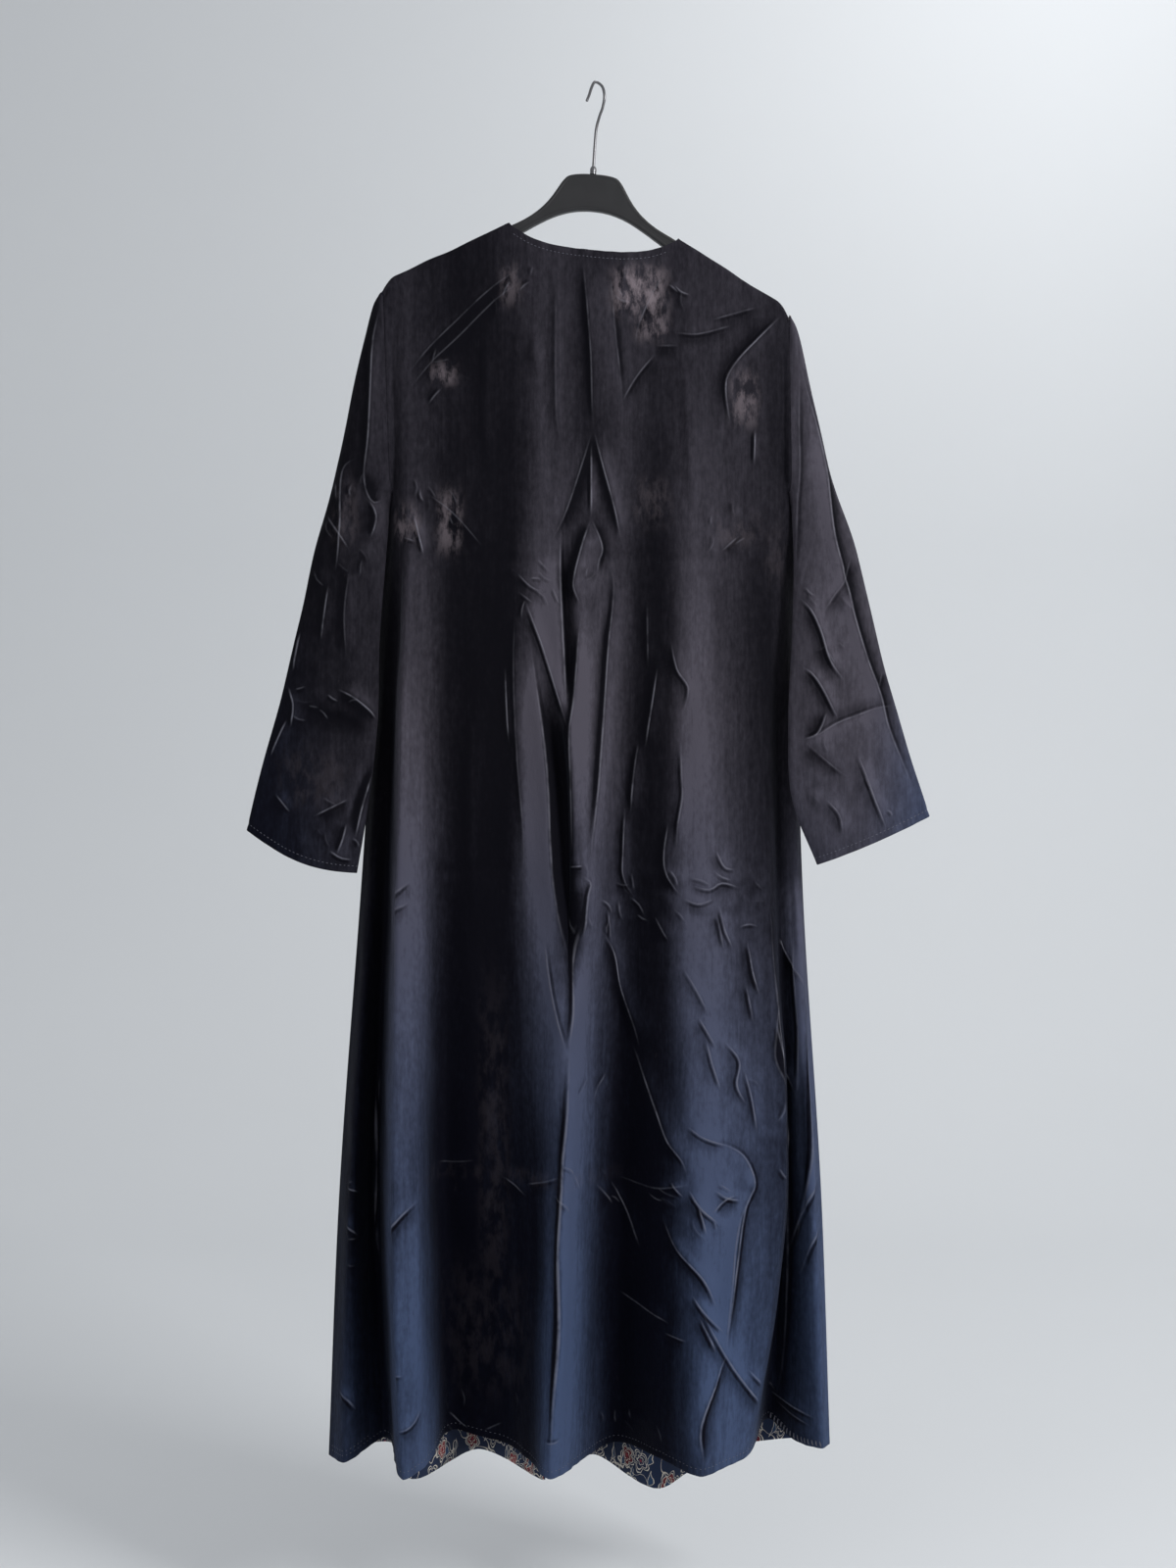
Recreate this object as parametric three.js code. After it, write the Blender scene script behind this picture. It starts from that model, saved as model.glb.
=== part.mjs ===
// Long reversible kimono jacket on a clothes hanger, in millimetres, +Z up.
// The back of the jacket faces -Y. The origin is the point inside the top of the hook
// that rests on whatever carries the hanger.
//
// Every cloth piece is a grid of points on its outer face, worked out from a short table
// of folds or sections, and given a wall: velvet outside, printed cotton inside.

import * as THREE from 'three';

// ---- driving dimensions -------------------------------------------------------------

const VELVET_WALL = 1.2;
const COTTON_WALL = 1.0;
const LAYER_GAP = 0.3;
const SEAM_GAP = 0.3;

const HANGER_TILT = THREE.MathUtils.degToRad(3.7);
const HANGER_THICKNESS = 10;
const HANGER_EDGE_ROUND = 2.5;
const ARM_REACH = 206;
const ARM_END_MARGIN = 4;
const ARM_HEIGHT = 15;
const ARM_SLOPE = 0.545;
const ARM_TOP_AT_NECK = -157.1;
const NECK_REACH = 86;
const WIRE_DIAMETER = 3;
const HOOK_TURN = THREE.MathUtils.degToRad(63);

const LEVELS = { chest: -433, waist: -590, hip: -870, knee: -1180 };
const NECK_LEFT = -95;
const NECK_RIGHT = 84;
const NECK_DIP = 22.5;
const YOKE_DEPTH = 8.2;
const NECK_DEPTH = 9;
const FRONT_CHEST_DEPTH = 20;
const BACK_CHEST_DEPTH = -9.5;
const NECK_SPREAD = { reach: 24, depth: 7.8, drop: 1.2 };

// The armholes: where each one's edge lies across, at its top and at the underarm.
const ARMHOLES = {
  left: { side: -1, topZ: -219, topX: -228, underarmX: -221 },
  right: { side: 1, topZ: -240, topX: 201, underarmX: 204 },
};

// ---- small maths --------------------------------------------------------------------

// A smooth curve through (knots, values), with a slope at each knot from its neighbours.
function curveThrough(knots, values, at) {
  const last = knots.length - 1;
  let i = 0;
  while (i < last - 1 && (at - knots[i + 1]) * Math.sign(knots[last] - knots[0]) > 0) i += 1;
  const slope = (k) => {
    const a = Math.max(k - 1, 0);
    const b = Math.min(k + 1, last);
    return (values[b] - values[a]) / (knots[b] - knots[a]);
  };
  const span = knots[i + 1] - knots[i];
  const t = (at - knots[i]) / span;
  const t2 = t * t;
  const t3 = t2 * t;
  return (2 * t3 - 3 * t2 + 1) * values[i]
    + (t3 - 2 * t2 + t) * span * slope(i)
    + (3 * t2 - 2 * t3) * values[i + 1]
    + (t3 - t2) * span * slope(i + 1);
}

function smoothStep(t) {
  const clamped = Math.min(Math.max(t, 0), 1);
  return clamped * clamped * (3 - 2 * clamped);
}

// ---- the top edge: shoulders over the hanger's arms, and the neckline -----------------

// A point of the hanger's own upright frame, tilted about the origin.
function tilted(x, z) {
  const cos = Math.cos(HANGER_TILT);
  const sin = Math.sin(HANGER_TILT);
  return { x: x * cos + z * sin, z: z * cos - x * sin };
}

const REST_GAP = 1.0;
const CLOTH_OVER_ARM = VELVET_WALL + LAYER_GAP + COTTON_WALL + REST_GAP;
// Past the hanger's arm the shoulder falls away in a curve.
const SHOULDER_FALL = { start: 4, curve: 0.055 };
// The neckline's shape: how flat its middle is, and how quickly its ends rise.
const NECKLINE = { flatness: 3, rise: 0.8, blend: 12 };

// Height of the cloth's crest over an arm, at x across.
function shoulderHeight(x) {
  const side = x < 0 ? -1 : 1;
  const near = tilted(side * NECK_REACH, ARM_TOP_AT_NECK + CLOTH_OVER_ARM);
  const farTop = ARM_TOP_AT_NECK - (ARM_REACH - NECK_REACH) * ARM_SLOPE;
  const far = tilted(side * ARM_REACH, farTop + CLOTH_OVER_ARM);
  const crest = near.z + ((x - near.x) / (far.x - near.x)) * (far.z - near.z);
  const pastArm = Math.max(side * (x - far.x) + SHOULDER_FALL.start, 0);
  return crest - SHOULDER_FALL.curve * pastArm * pastArm;
}

function topHeight(x) {
  if (x <= NECK_LEFT || x >= NECK_RIGHT) return shoulderHeight(x);
  const across = (x - NECK_LEFT) / (NECK_RIGHT - NECK_LEFT);
  const left = shoulderHeight(NECK_LEFT);
  const right = shoulderHeight(NECK_RIGHT);
  const swing = Math.abs(2 * across - 1);
  const dip = NECK_DIP * (1 - swing ** NECKLINE.flatness) ** NECKLINE.rise;
  return left + (right - left) * across - dip;
}

// ---- armholes -------------------------------------------------------------------------

function armholeAcross(hole, z) {
  const down = (hole.topZ - z) / (hole.topZ - LEVELS.chest);
  return hole.topX + (hole.underarmX - hole.topX) * down;
}

// The armhole keeps its full width until near its two ends.
const ARMHOLE_SQUARENESS = 8;

// Middle and half width of the armhole, front to back, at a height.
function armholeDepth(hole, z) {
  const half = (hole.topZ - LEVELS.chest) / 2;
  const t = Math.min(Math.abs((z - hole.topZ + half) / half), 1);
  const middle = (FRONT_CHEST_DEPTH + BACK_CHEST_DEPTH) / 2;
  const chestHalf = (FRONT_CHEST_DEPTH - BACK_CHEST_DEPTH) / 2;
  const fall = smoothStep((hole.topZ - z) / (2 * half));
  const width = (YOKE_DEPTH + (chestHalf - YOKE_DEPTH) * fall) * Math.sqrt(1 - t ** ARMHOLE_SQUARENESS);
  return { middle: middle * fall, half: width };
}

// ---- body panels ----------------------------------------------------------------------

// One row for each fold line, from the top edge to the hem. top: x across; chest, waist,
// hip, knee: [x, y] at those levels; hem: [x, y, z]; steps: grid steps to the next row.
const BACK_FOLDS = [
  { fold: 'left side seam', top: -228, chest: [-221, 5.3], waist: [-237, 26],
    hip: [-258, 38], knee: [-280, 36], hem: [-291, 32, -1465], steps: 1 },
  { fold: 'left side strip', top: -214, chest: [-213, -6], waist: [-227, 14],
    hip: [-246, 20], knee: [-262, 0], hem: [-268, -2, -1461], steps: 1 },
  { fold: 'valley behind the roll', top: -203, chest: [-206, -9.5], waist: [-214, 7],
    hip: [-228, 28], knee: [-239, 37], hem: [-230, 38, -1448], steps: 2 },
  { fold: 'left roll', top: -190, chest: [-195, -10], waist: [-205, -13],
    hip: [-211, -26], knee: [-215, -41], hem: [-205, -46, -1463], steps: 1 },
  { fold: 'inner edge of the roll', top: -174, chest: [-180, -10], waist: [-186, -11],
    hip: [-190, -19], knee: [-188, -30], hem: [-182, -22, -1458], steps: 2 },
  { fold: 'left wide valley', top: -148, chest: [-156, -9.5], waist: [-160, -5],
    hip: [-164, 10], knee: [-168, 36], hem: [-161, 48, -1444], steps: 2 },
  { fold: 'left neck point', top: -95, chest: [-92, -10], waist: [-95, -12],
    hip: [-100, -4], knee: [-100, 18], hem: [-98, 34, -1454], steps: 1 },
  { fold: 'slope to the centre', top: -58, chest: [-56, -12], waist: [-62, -17],
    hip: [-68, -17], knee: [-68, -10], hem: [-74, 0, -1460], steps: 1 },
  { fold: 'centre ridge', top: -12, chest: [-12, -14], waist: [-22, -21],
    hip: [-28, -30], knee: [-37, -42], hem: [-49, -47, -1462], steps: 3 },
  { fold: 'centre valley', top: 40, chest: [26, -9], waist: [22, -6],
    hip: [20, 7], knee: [18, 28], hem: [16, 45, -1456], steps: 2 },
  { fold: 'right neck point', top: 84, chest: [60, -10], waist: [62, -12],
    hip: [62, -12], knee: [64, -6], hem: [62, -3, -1455], steps: 2 },
  { fold: 'right ridge', top: 118, chest: [100, -12], waist: [100, -17],
    hip: [102, -25], knee: [106, -37], hem: [104, -43, -1461], steps: 2 },
  { fold: 'right panel edge', top: 166, chest: [164, -10], waist: [172, -10],
    hip: [180, -9], knee: [197, -7], hem: [160, 6, -1456], steps: 2 },
  { fold: 'right deep valley', top: 182, chest: [182, -9.5], waist: [188, -2],
    hip: [194, 22], knee: [203, 50], hem: [187, 79, -1442], steps: 1 },
  { fold: 'right hollow', top: 189, chest: [190, -8.5], waist: [197, 4],
    hip: [205, 22], knee: [217, 36], hem: [213, 56, -1457], steps: 1 },
  { fold: 'right side strip', top: 195, chest: [197, -5], waist: [204, 11],
    hip: [214, 21], knee: [230, 25], hem: [240, 28, -1457], steps: 1 },
  { fold: 'right side seam', top: 201, chest: [204, 5.3], waist: [211, 22],
    hip: [221, 34], knee: [241, 42], hem: [251, 45, -1458], steps: 0 },
];

const LEFT_FRONT_FOLDS = [
  { fold: 'left side seam', top: -228, chest: [-221, 5.3], waist: [-237, 26],
    hip: [-258, 38], knee: [-280, 36], hem: [-291, 32, -1465], steps: 1 },
  { fold: 'left front strip', top: -212, chest: [-212, 17], waist: [-224, 39],
    hip: [-246, 56], knee: [-263, 68], hem: [-270, 70, -1467], steps: 2 },
  { fold: 'left front hollow', top: -198, chest: [-198, 20], waist: [-205, 36],
    hip: [-214, 58], knee: [-230, 84], hem: [-228, 92, -1472], steps: 2 },
  { fold: 'left front roll', top: -175, chest: [-176, 20], waist: [-182, 20],
    hip: [-190, 14], knee: [-199, 8], hem: [-197, 2, -1479], steps: 2 },
  { fold: 'left front valley', top: -140, chest: [-128, 20], waist: [-136, 27],
    hip: [-138, 50], knee: [-138, 86], hem: [-134, 101, -1482], steps: 3 },
  { fold: 'left front edge', top: -95, chest: [-48, 18], waist: [-28, 16],
    hip: [-30, 12], knee: [-44, 9], hem: [-57, 8, -1483], steps: 0 },
];

const RIGHT_FRONT_FOLDS = [
  { fold: 'right front edge', top: 84, chest: [40, 18], waist: [10, 24],
    hip: [-5, 32], knee: [-22, 44], hem: [-38, 50, -1477], steps: 1 },
  { fold: 'right front valley', top: 96, chest: [58, 20], waist: [34, 29],
    hip: [20, 46], knee: [8, 78], hem: [0, 92, -1486], steps: 2 },
  { fold: 'right front ridge', top: 118, chest: [94, 20], waist: [82, 17],
    hip: [72, 16], knee: [64, 18], hem: [60, 21, -1496], steps: 1 },
  { fold: 'right front flank', top: 135, chest: [120, 20], waist: [110, 23],
    hip: [102, 32], knee: [96, 46], hem: [93, 52, -1492], steps: 2 },
  { fold: 'right front hollow', top: 160, chest: [155, 20], waist: [158, 34],
    hip: [164, 62], knee: [172, 100], hem: [168, 118, -1482], steps: 2 },
  { fold: 'right front strip', top: 188, chest: [190, 18], waist: [197, 39],
    hip: [210, 62], knee: [228, 88], hem: [232, 100, -1469], steps: 1 },
  { fold: 'right side seam', top: 201, chest: [204, 5.3], waist: [211, 22],
    hip: [221, 34], knee: [241, 42], hem: [251, 45, -1458], steps: 0 },
];

const COLUMNS = [
  (row) => row.top,
  (row) => row.chest[0], (row) => row.chest[1],
  (row) => row.waist[0], (row) => row.waist[1],
  (row) => row.hip[0], (row) => row.hip[1],
  (row) => row.knee[0], (row) => row.knee[1],
  (row) => row.hem[0], (row) => row.hem[1], (row) => row.hem[2],
];

// How far along the hem each fold lies, which is the panel's own flat width.
function alongHem(folds) {
  const along = [0];
  for (let i = 1; i < folds.length; i += 1) {
    const a = folds[i - 1].hem;
    const b = folds[i].hem;
    along.push(along[i - 1] + Math.hypot(a[0] - b[0], a[1] - b[1]));
  }
  return along;
}

// The fold rows with the rows between them, each as a plain list of its column values.
function foldLines(folds) {
  const along = alongHem(folds);
  const lines = [];
  folds.forEach((fold, i) => {
    const steps = Math.max(fold.steps, 1);
    for (let k = 0; k < steps; k += 1) {
      const reach = i + 1 < folds.length ? along[i + 1] - along[i] : 0;
      const at = along[i] + (reach * k) / steps;
      lines.push(COLUMNS.map((pick) => curveThrough(along, folds.map(pick), at)));
    }
  });
  return lines;
}

// Courses down a panel: three over the crest, then steps to the chest, then to the hem.
const YOKE_BELOW = 5.5;
const CREST_COURSES = [
  { below: 0, depth: SEAM_GAP / 2 },
  { below: 1, depth: 5.6 },
  { below: YOKE_BELOW, depth: YOKE_DEPTH },
];
const UPPER_COURSES = [0.3, 0.6, 0.85, 1];
const LOWER_COURSES = 12;

function courses() {
  const list = CREST_COURSES.map((crest) => ({ crest }));
  UPPER_COURSES.forEach((upper) => list.push({ upper }));
  for (let i = 1; i <= LOWER_COURSES; i += 1) list.push({ lower: i / LOWER_COURSES });
  return list;
}

// Beside the neck the two crests part and pass down either side of the hanger's arm.
function neckSpread(top) {
  const outside = Math.max(NECK_LEFT - top, top - NECK_RIGHT, 0);
  return 1 - smoothStep(outside / NECK_SPREAD.reach);
}

// The point of a fold line on a course. facing is -1 on the back and 1 on the fronts,
// and hole is the armhole when the line is a panel's side edge.
function foldPoint(line, course, facing, hole) {
  const [top, ...rest] = line;
  const [chestX, chestY, waistX, waistY, hipX, hipY, kneeX, kneeY, hemX, hemY, hemZ] = rest;
  const topZ = topHeight(top);
  const onNeck = facing < 0
    ? smoothStep(Math.min(top - NECK_LEFT, NECK_RIGHT - top) / NECKLINE.blend)
    : 0;
  const yoke = facing * (YOKE_DEPTH + (NECK_DEPTH - YOKE_DEPTH) * onNeck);
  const spread = neckSpread(top);
  if (course.crest) {
    const seamY = course.crest.depth;
    const spreadY = Math.max(seamY, seamY + (NECK_SPREAD.depth - seamY) * spread);
    const crestY = facing * spreadY;
    const y = crestY + (yoke - crestY) * onNeck;
    const below = course.crest.below + NECK_SPREAD.drop * spread * (1 - onNeck);
    const x = hole ? armholeAcross(hole, topZ - below) : top;
    return new THREE.Vector3(x, y, topZ - below);
  }
  const startZ = topZ - YOKE_BELOW;
  const z = course.upper
    ? startZ + course.upper * (LEVELS.chest - startZ)
    : LEVELS.chest + course.lower * (hemZ - LEVELS.chest);
  if (hole && z > LEVELS.chest) {
    const depth = armholeDepth(hole, z);
    return new THREE.Vector3(armholeAcross(hole, z), depth.middle + facing * depth.half, z);
  }
  const knots = [startZ, LEVELS.chest, LEVELS.waist, LEVELS.hip, LEVELS.knee, hemZ];
  const xs = [top, chestX, waistX, hipX, kneeX, hemX];
  const ys = [yoke, chestY, waistY, hipY, kneeY, hemY];
  if (hole) [knots, xs, ys].forEach((list) => list.shift());
  return new THREE.Vector3(curveThrough(knots, xs, z), curveThrough(knots, ys, z), z);
}

function panelGrid(folds, facing, holes) {
  const lines = foldLines(folds);
  return lines.map((line, i) => {
    const hole = i === 0 ? holes.first : i === lines.length - 1 ? holes.last : null;
    return courses().map((course) => foldPoint(line, course, facing, hole));
  });
}

// ---- sleeves --------------------------------------------------------------------------

// One row for each section down a sleeve. armholeZ: its height on the armhole; inner: [x, z]
// on the underarm seam; outer: [x, z] on the outer edge; middle: the depth of the section's
// middle below the underarm; round: the half depth that it adds to the armhole's.
const LEFT_SLEEVE_SECTIONS = [
  { section: 'shoulder point', armholeZ: -221, outer: [-232.5, -222.5], round: 3 },
  { section: 'cap', armholeZ: -232, outer: [-239, -234], round: 2 },
  { section: 'upper arm', armholeZ: -262, outer: [-247, -263], round: 2 },
  { section: 'mid armhole', armholeZ: -325, outer: [-262, -326], round: 2 },
  { section: 'lower armhole', armholeZ: -388, outer: [-274, -386], round: 3 },
  { section: 'above underarm', armholeZ: -416, outer: [-280, -412], round: 5 },
  { section: 'underarm', armholeZ: -433, outer: [-284, -428], round: 14 },
  { section: 'below underarm', inner: [-226, -505], outer: [-301, -494], middle: 0, round: 13 },
  { section: 'elbow', inner: [-232, -590], outer: [-318, -572], middle: -4, round: 11 },
  { section: 'forearm', inner: [-234, -676], outer: [-336, -650], middle: -5, round: 11 },
  { section: 'above cuff', inner: [-243, -758], outer: [-356, -720], middle: -5, round: 12 },
  { section: 'cuff', inner: [-256, -836], outer: [-372, -791], middle: -4, round: 13 },
];

const RIGHT_SLEEVE_SECTIONS = [
  { section: 'shoulder point', armholeZ: -242, outer: [207, -244], round: 3 },
  { section: 'cap', armholeZ: -254, outer: [210, -257], round: 2 },
  { section: 'upper arm', armholeZ: -282, outer: [217, -285], round: 2 },
  { section: 'mid armhole', armholeZ: -335, outer: [229, -336], round: 2 },
  { section: 'lower armhole', armholeZ: -390, outer: [241, -388], round: 3 },
  { section: 'above underarm', armholeZ: -416, outer: [247, -412], round: 5 },
  { section: 'underarm', armholeZ: -433, outer: [252, -429], round: 14 },
  { section: 'below underarm', inner: [206, -505], outer: [272, -497], middle: -6, round: 12 },
  { section: 'elbow', inner: [203, -590], outer: [290, -576], middle: -16, round: 10 },
  { section: 'forearm', inner: [199, -676], outer: [310, -652], middle: -18, round: 10 },
  { section: 'above cuff', inner: [203, -757], outer: [329, -716], middle: -16, round: 12 },
  { section: 'cuff', inner: [230, -827], outer: [348, -776], middle: -12, round: 13 },
];

const SLEEVE_STEPS_ROUND = 12;

// The pleat beside each armhole: a fold edge that stands out from the back of the sleeve,
// half way across it.
const SLEEVE_PLEAT = { across: 0.5, halfWidth: 0.1, depth: 5, from: -235, to: -500 };

// The sleeve's points go round each section from the armhole's back edge, over the outer
// edge, to its front edge. Below the underarm the two edges meet in the underarm seam.
function sleeveGrid(sections, hole) {
  const grid = [];
  for (let i = 0; i <= SLEEVE_STEPS_ROUND; i += 1) {
    const angle = (2 * Math.PI * i) / SLEEVE_STEPS_ROUND;
    const across = (1 - Math.cos(angle)) / 2;
    const facing = i <= SLEEVE_STEPS_ROUND / 2 ? -1 : 1;
    grid.push(sections.map((section) => {
      const onArmhole = section.armholeZ !== undefined;
      const depth = armholeDepth(hole, onArmhole ? section.armholeZ : LEVELS.chest);
      const [innerX, innerZ] = onArmhole
        ? [armholeAcross(hole, section.armholeZ) + hole.side * SEAM_GAP, section.armholeZ]
        : section.inner;
      const x = innerX + (section.outer[0] - innerX) * across;
      const z = innerZ + (section.outer[1] - innerZ) * across;
      const spread = depth.half * Math.sqrt(Math.max(1 - across * across, 0))
        + section.round * Math.abs(Math.sin(angle));
      const middle = onArmhole ? depth.middle : section.middle;
      const along = (z - SLEEVE_PLEAT.from) / (SLEEVE_PLEAT.to - SLEEVE_PLEAT.from);
      const onPleat = Math.abs(across - SLEEVE_PLEAT.across) < SLEEVE_PLEAT.halfWidth;
      const pleat = facing < 0 && onPleat
        ? SLEEVE_PLEAT.depth * Math.sin(Math.PI * THREE.MathUtils.clamp(along, 0, 1))
        : 0;
      return new THREE.Vector3(x, middle + facing * (spread + pleat), z);
    }));
  }
  return grid;
}

// ---- walls ----------------------------------------------------------------------------

// Outward normals of a grid, from each point's neighbours. sense turns them to the outside.
function gridNormals(grid, sense) {
  return grid.map((column, i) => column.map((point, j) => {
    const left = grid[Math.max(i - 1, 0)][j];
    const right = grid[Math.min(i + 1, grid.length - 1)][j];
    const up = column[Math.max(j - 1, 0)];
    const down = column[Math.min(j + 1, column.length - 1)];
    const across = new THREE.Vector3().subVectors(right, left);
    const along = new THREE.Vector3().subVectors(down, up);
    return across.cross(along).multiplyScalar(sense).normalize();
  }));
}

// Two edges that meet take one shared normal, so that their walls stay side by side.
function shareNormals(a, b) {
  const shared = new THREE.Vector3().addVectors(a, b).normalize();
  a.copy(shared);
  b.copy(shared);
}

// A closed wall between two depths below the grid's outer face.
function wallGeometry(grid, normals, fromDepth, toDepth, sense) {
  const across = grid.length;
  const along = grid[0].length;
  const positions = [];
  [fromDepth, toDepth].forEach((depth) => {
    grid.forEach((column, i) => column.forEach((point, j) => {
      const moved = point.clone().addScaledVector(normals[i][j], -depth);
      positions.push(moved.x, moved.y, moved.z);
    }));
  });
  const index = [];
  const at = (layer, i, j) => (layer * across + i) * along + j;
  const quad = (a, b, c, d) => {
    if (sense > 0) index.push(a, b, c, a, c, d);
    else index.push(a, c, b, a, d, c);
  };
  for (let i = 0; i + 1 < across; i += 1) {
    for (let j = 0; j + 1 < along; j += 1) {
      quad(at(0, i, j), at(0, i + 1, j), at(0, i + 1, j + 1), at(0, i, j + 1));
      quad(at(1, i, j), at(1, i, j + 1), at(1, i + 1, j + 1), at(1, i + 1, j));
    }
    const end = along - 1;
    quad(at(0, i, 0), at(1, i, 0), at(1, i + 1, 0), at(0, i + 1, 0));
    quad(at(0, i, end), at(0, i + 1, end), at(1, i + 1, end), at(1, i, end));
  }
  for (let j = 0; j + 1 < along; j += 1) {
    const end = across - 1;
    quad(at(0, 0, j), at(0, 0, j + 1), at(1, 0, j + 1), at(1, 0, j));
    quad(at(0, end, j), at(1, end, j), at(1, end, j + 1), at(0, end, j + 1));
  }
  const geometry = new THREE.BufferGeometry();
  geometry.setAttribute('position', new THREE.Float32BufferAttribute(positions, 3));
  geometry.setIndex(index);
  geometry.computeVertexNormals();
  return geometry;
}

// ---- materials ------------------------------------------------------------------------

const velvet = new THREE.MeshStandardMaterial({ color: '#232a3d', roughness: 0.7 });
const printedCotton = new THREE.MeshStandardMaterial({ color: '#151b2e', roughness: 0.85 });
const blackPlastic = new THREE.MeshStandardMaterial({ color: '#18181a', roughness: 0.45 });
const steelWire = new THREE.MeshStandardMaterial({
  color: '#4a4b4f', roughness: 0.35, metalness: 0.9,
});

const jacket = new THREE.Group();

function addPiece(name, geometry, material, parent = jacket) {
  const mesh = new THREE.Mesh(geometry, material);
  mesh.name = name;
  parent.add(mesh);
  return mesh;
}

// ---- the jacket -----------------------------------------------------------------------

const leftHole = ARMHOLES.left;
const rightHole = ARMHOLES.right;
const grids = {
  back: panelGrid(BACK_FOLDS, -1, { first: leftHole, last: rightHole }),
  front_left: panelGrid(LEFT_FRONT_FOLDS, 1, { first: leftHole }),
  front_right: panelGrid(RIGHT_FRONT_FOLDS, 1, { last: rightHole }),
  sleeve_left: sleeveGrid(LEFT_SLEEVE_SECTIONS, leftHole),
  sleeve_right: sleeveGrid(RIGHT_SLEEVE_SECTIONS, rightHole),
};
const senses = { back: -1, front_left: 1, front_right: 1, sleeve_left: 1, sleeve_right: -1 };
const normals = {};
Object.keys(grids).forEach((name) => {
  normals[name] = gridNormals(grids[name], senses[name]);
});

const HEIGHT_TOLERANCE = 0.01;

function onArmhole(point) {
  return point.z > LEVELS.chest + HEIGHT_TOLERANCE;
}

function standBack(point, inward) {
  const away = new THREE.Vector3().subVectors(inward, point).normalize();
  point.addScaledVector(away, SEAM_GAP / 2);
}

function lastOf(list, back = 1) {
  return list[list.length - back];
}

// The side seams: below the underarm the back and each front share their edge's normal,
// and each stands back from the seam by half the gap.
function sewSide(backEdge, backNormals, backNext, frontEdge, frontNormals, frontNext) {
  backEdge.forEach((point, j) => {
    if (onArmhole(point)) {
      backNormals[j].setX(0).normalize();
      frontNormals[j].setX(0).normalize();
      return;
    }
    shareNormals(backNormals[j], frontNormals[j]);
    standBack(point, backNext[j]);
    standBack(frontEdge[j], frontNext[j]);
  });
}

sewSide(
  grids.back[0], normals.back[0], grids.back[1],
  grids.front_left[0], normals.front_left[0], grids.front_left[1],
);
sewSide(
  lastOf(grids.back), lastOf(normals.back), lastOf(grids.back, 2),
  lastOf(grids.front_right), lastOf(normals.front_right), lastOf(grids.front_right, 2),
);

// The shoulder seams: over the hanger the crest's normal stands upright.
['back', 'front_left', 'front_right'].forEach((name) => {
  grids[name].forEach((column, i) => {
    const onCrest = Math.abs(column[0].y) < SEAM_GAP;
    if (onCrest) normals[name][i][0].setY(0).normalize();
  });
});

// The sleeves: the armhole edges face straight back and front, and the underarm edges meet.
function sewSleeve(grid, gridNormal) {
  const first = grid[0];
  const last = lastOf(grid);
  first.forEach((point, j) => {
    const a = gridNormal[0][j];
    const b = lastOf(gridNormal)[j];
    if (onArmhole(point)) {
      a.setX(0).normalize();
      b.setX(0).normalize();
      return;
    }
    shareNormals(a, b);
    point.y -= SEAM_GAP / 2;
    last[j].y += SEAM_GAP / 2;
  });
}

sewSleeve(grids.sleeve_left, normals.sleeve_left);
sewSleeve(grids.sleeve_right, normals.sleeve_right);

// Each sleeve is a back and a front half, which meet along its outer edge.
function halveSleeve(name) {
  const middle = SLEEVE_STEPS_ROUND / 2;
  const copied = (columns) => columns.map((column) => column.map((point) => point.clone()));
  [['back', 0, middle + 1], ['front', middle, SLEEVE_STEPS_ROUND + 1]].forEach(([half, from, to]) => {
    const grid = copied(grids[name].slice(from, to));
    const edge = half === 'back' ? lastOf(grid) : grid[0];
    const next = half === 'back' ? lastOf(grid, 2) : grid[1];
    edge.forEach((point, j) => standBack(point, next[j]));
    grids[`${name}_${half}`] = grid;
    normals[`${name}_${half}`] = copied(normals[name].slice(from, to));
    senses[`${name}_${half}`] = senses[name];
  });
  delete grids[name];
}

halveSleeve('sleeve_left');
halveSleeve('sleeve_right');

const cottonFrom = VELVET_WALL + LAYER_GAP;
const cottonTo = cottonFrom + COTTON_WALL;
Object.keys(grids).forEach((name) => {
  const grid = grids[name];
  const sense = senses[name];
  addPiece(name, wallGeometry(grid, normals[name], 0, VELVET_WALL, sense), velvet);
  const inside = wallGeometry(grid, normals[name], cottonFrom, cottonTo, sense);
  addPiece(`lining_${name}`, inside, printedCotton);
});

// ---- the hanger -----------------------------------------------------------------------

const hanger = new THREE.Group();
hanger.rotation.y = HANGER_TILT;
jacket.add(hanger);

const CENTRE_TOP = -96;
const CENTRE_HALF = 27;
const CENTRE_CORNER = { reach: 6, drop: 4 };
// The concave sweep from the centre down to each arm: its two handles.
const SWEEP = { nearX: 39, nearDrop: 14, farX: 40, farDrop: 40 };
const ARCH = { top: -134.5, shoulderX: 52, shoulderDrop: 16, crownX: 34 };
const ARM_TIP = { round: 9, rise: 5, soften: 2 };
const OUTLINE_STEPS = 5;

function armTop(x) {
  return ARM_TOP_AT_NECK - (x - NECK_REACH) * ARM_SLOPE;
}

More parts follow.
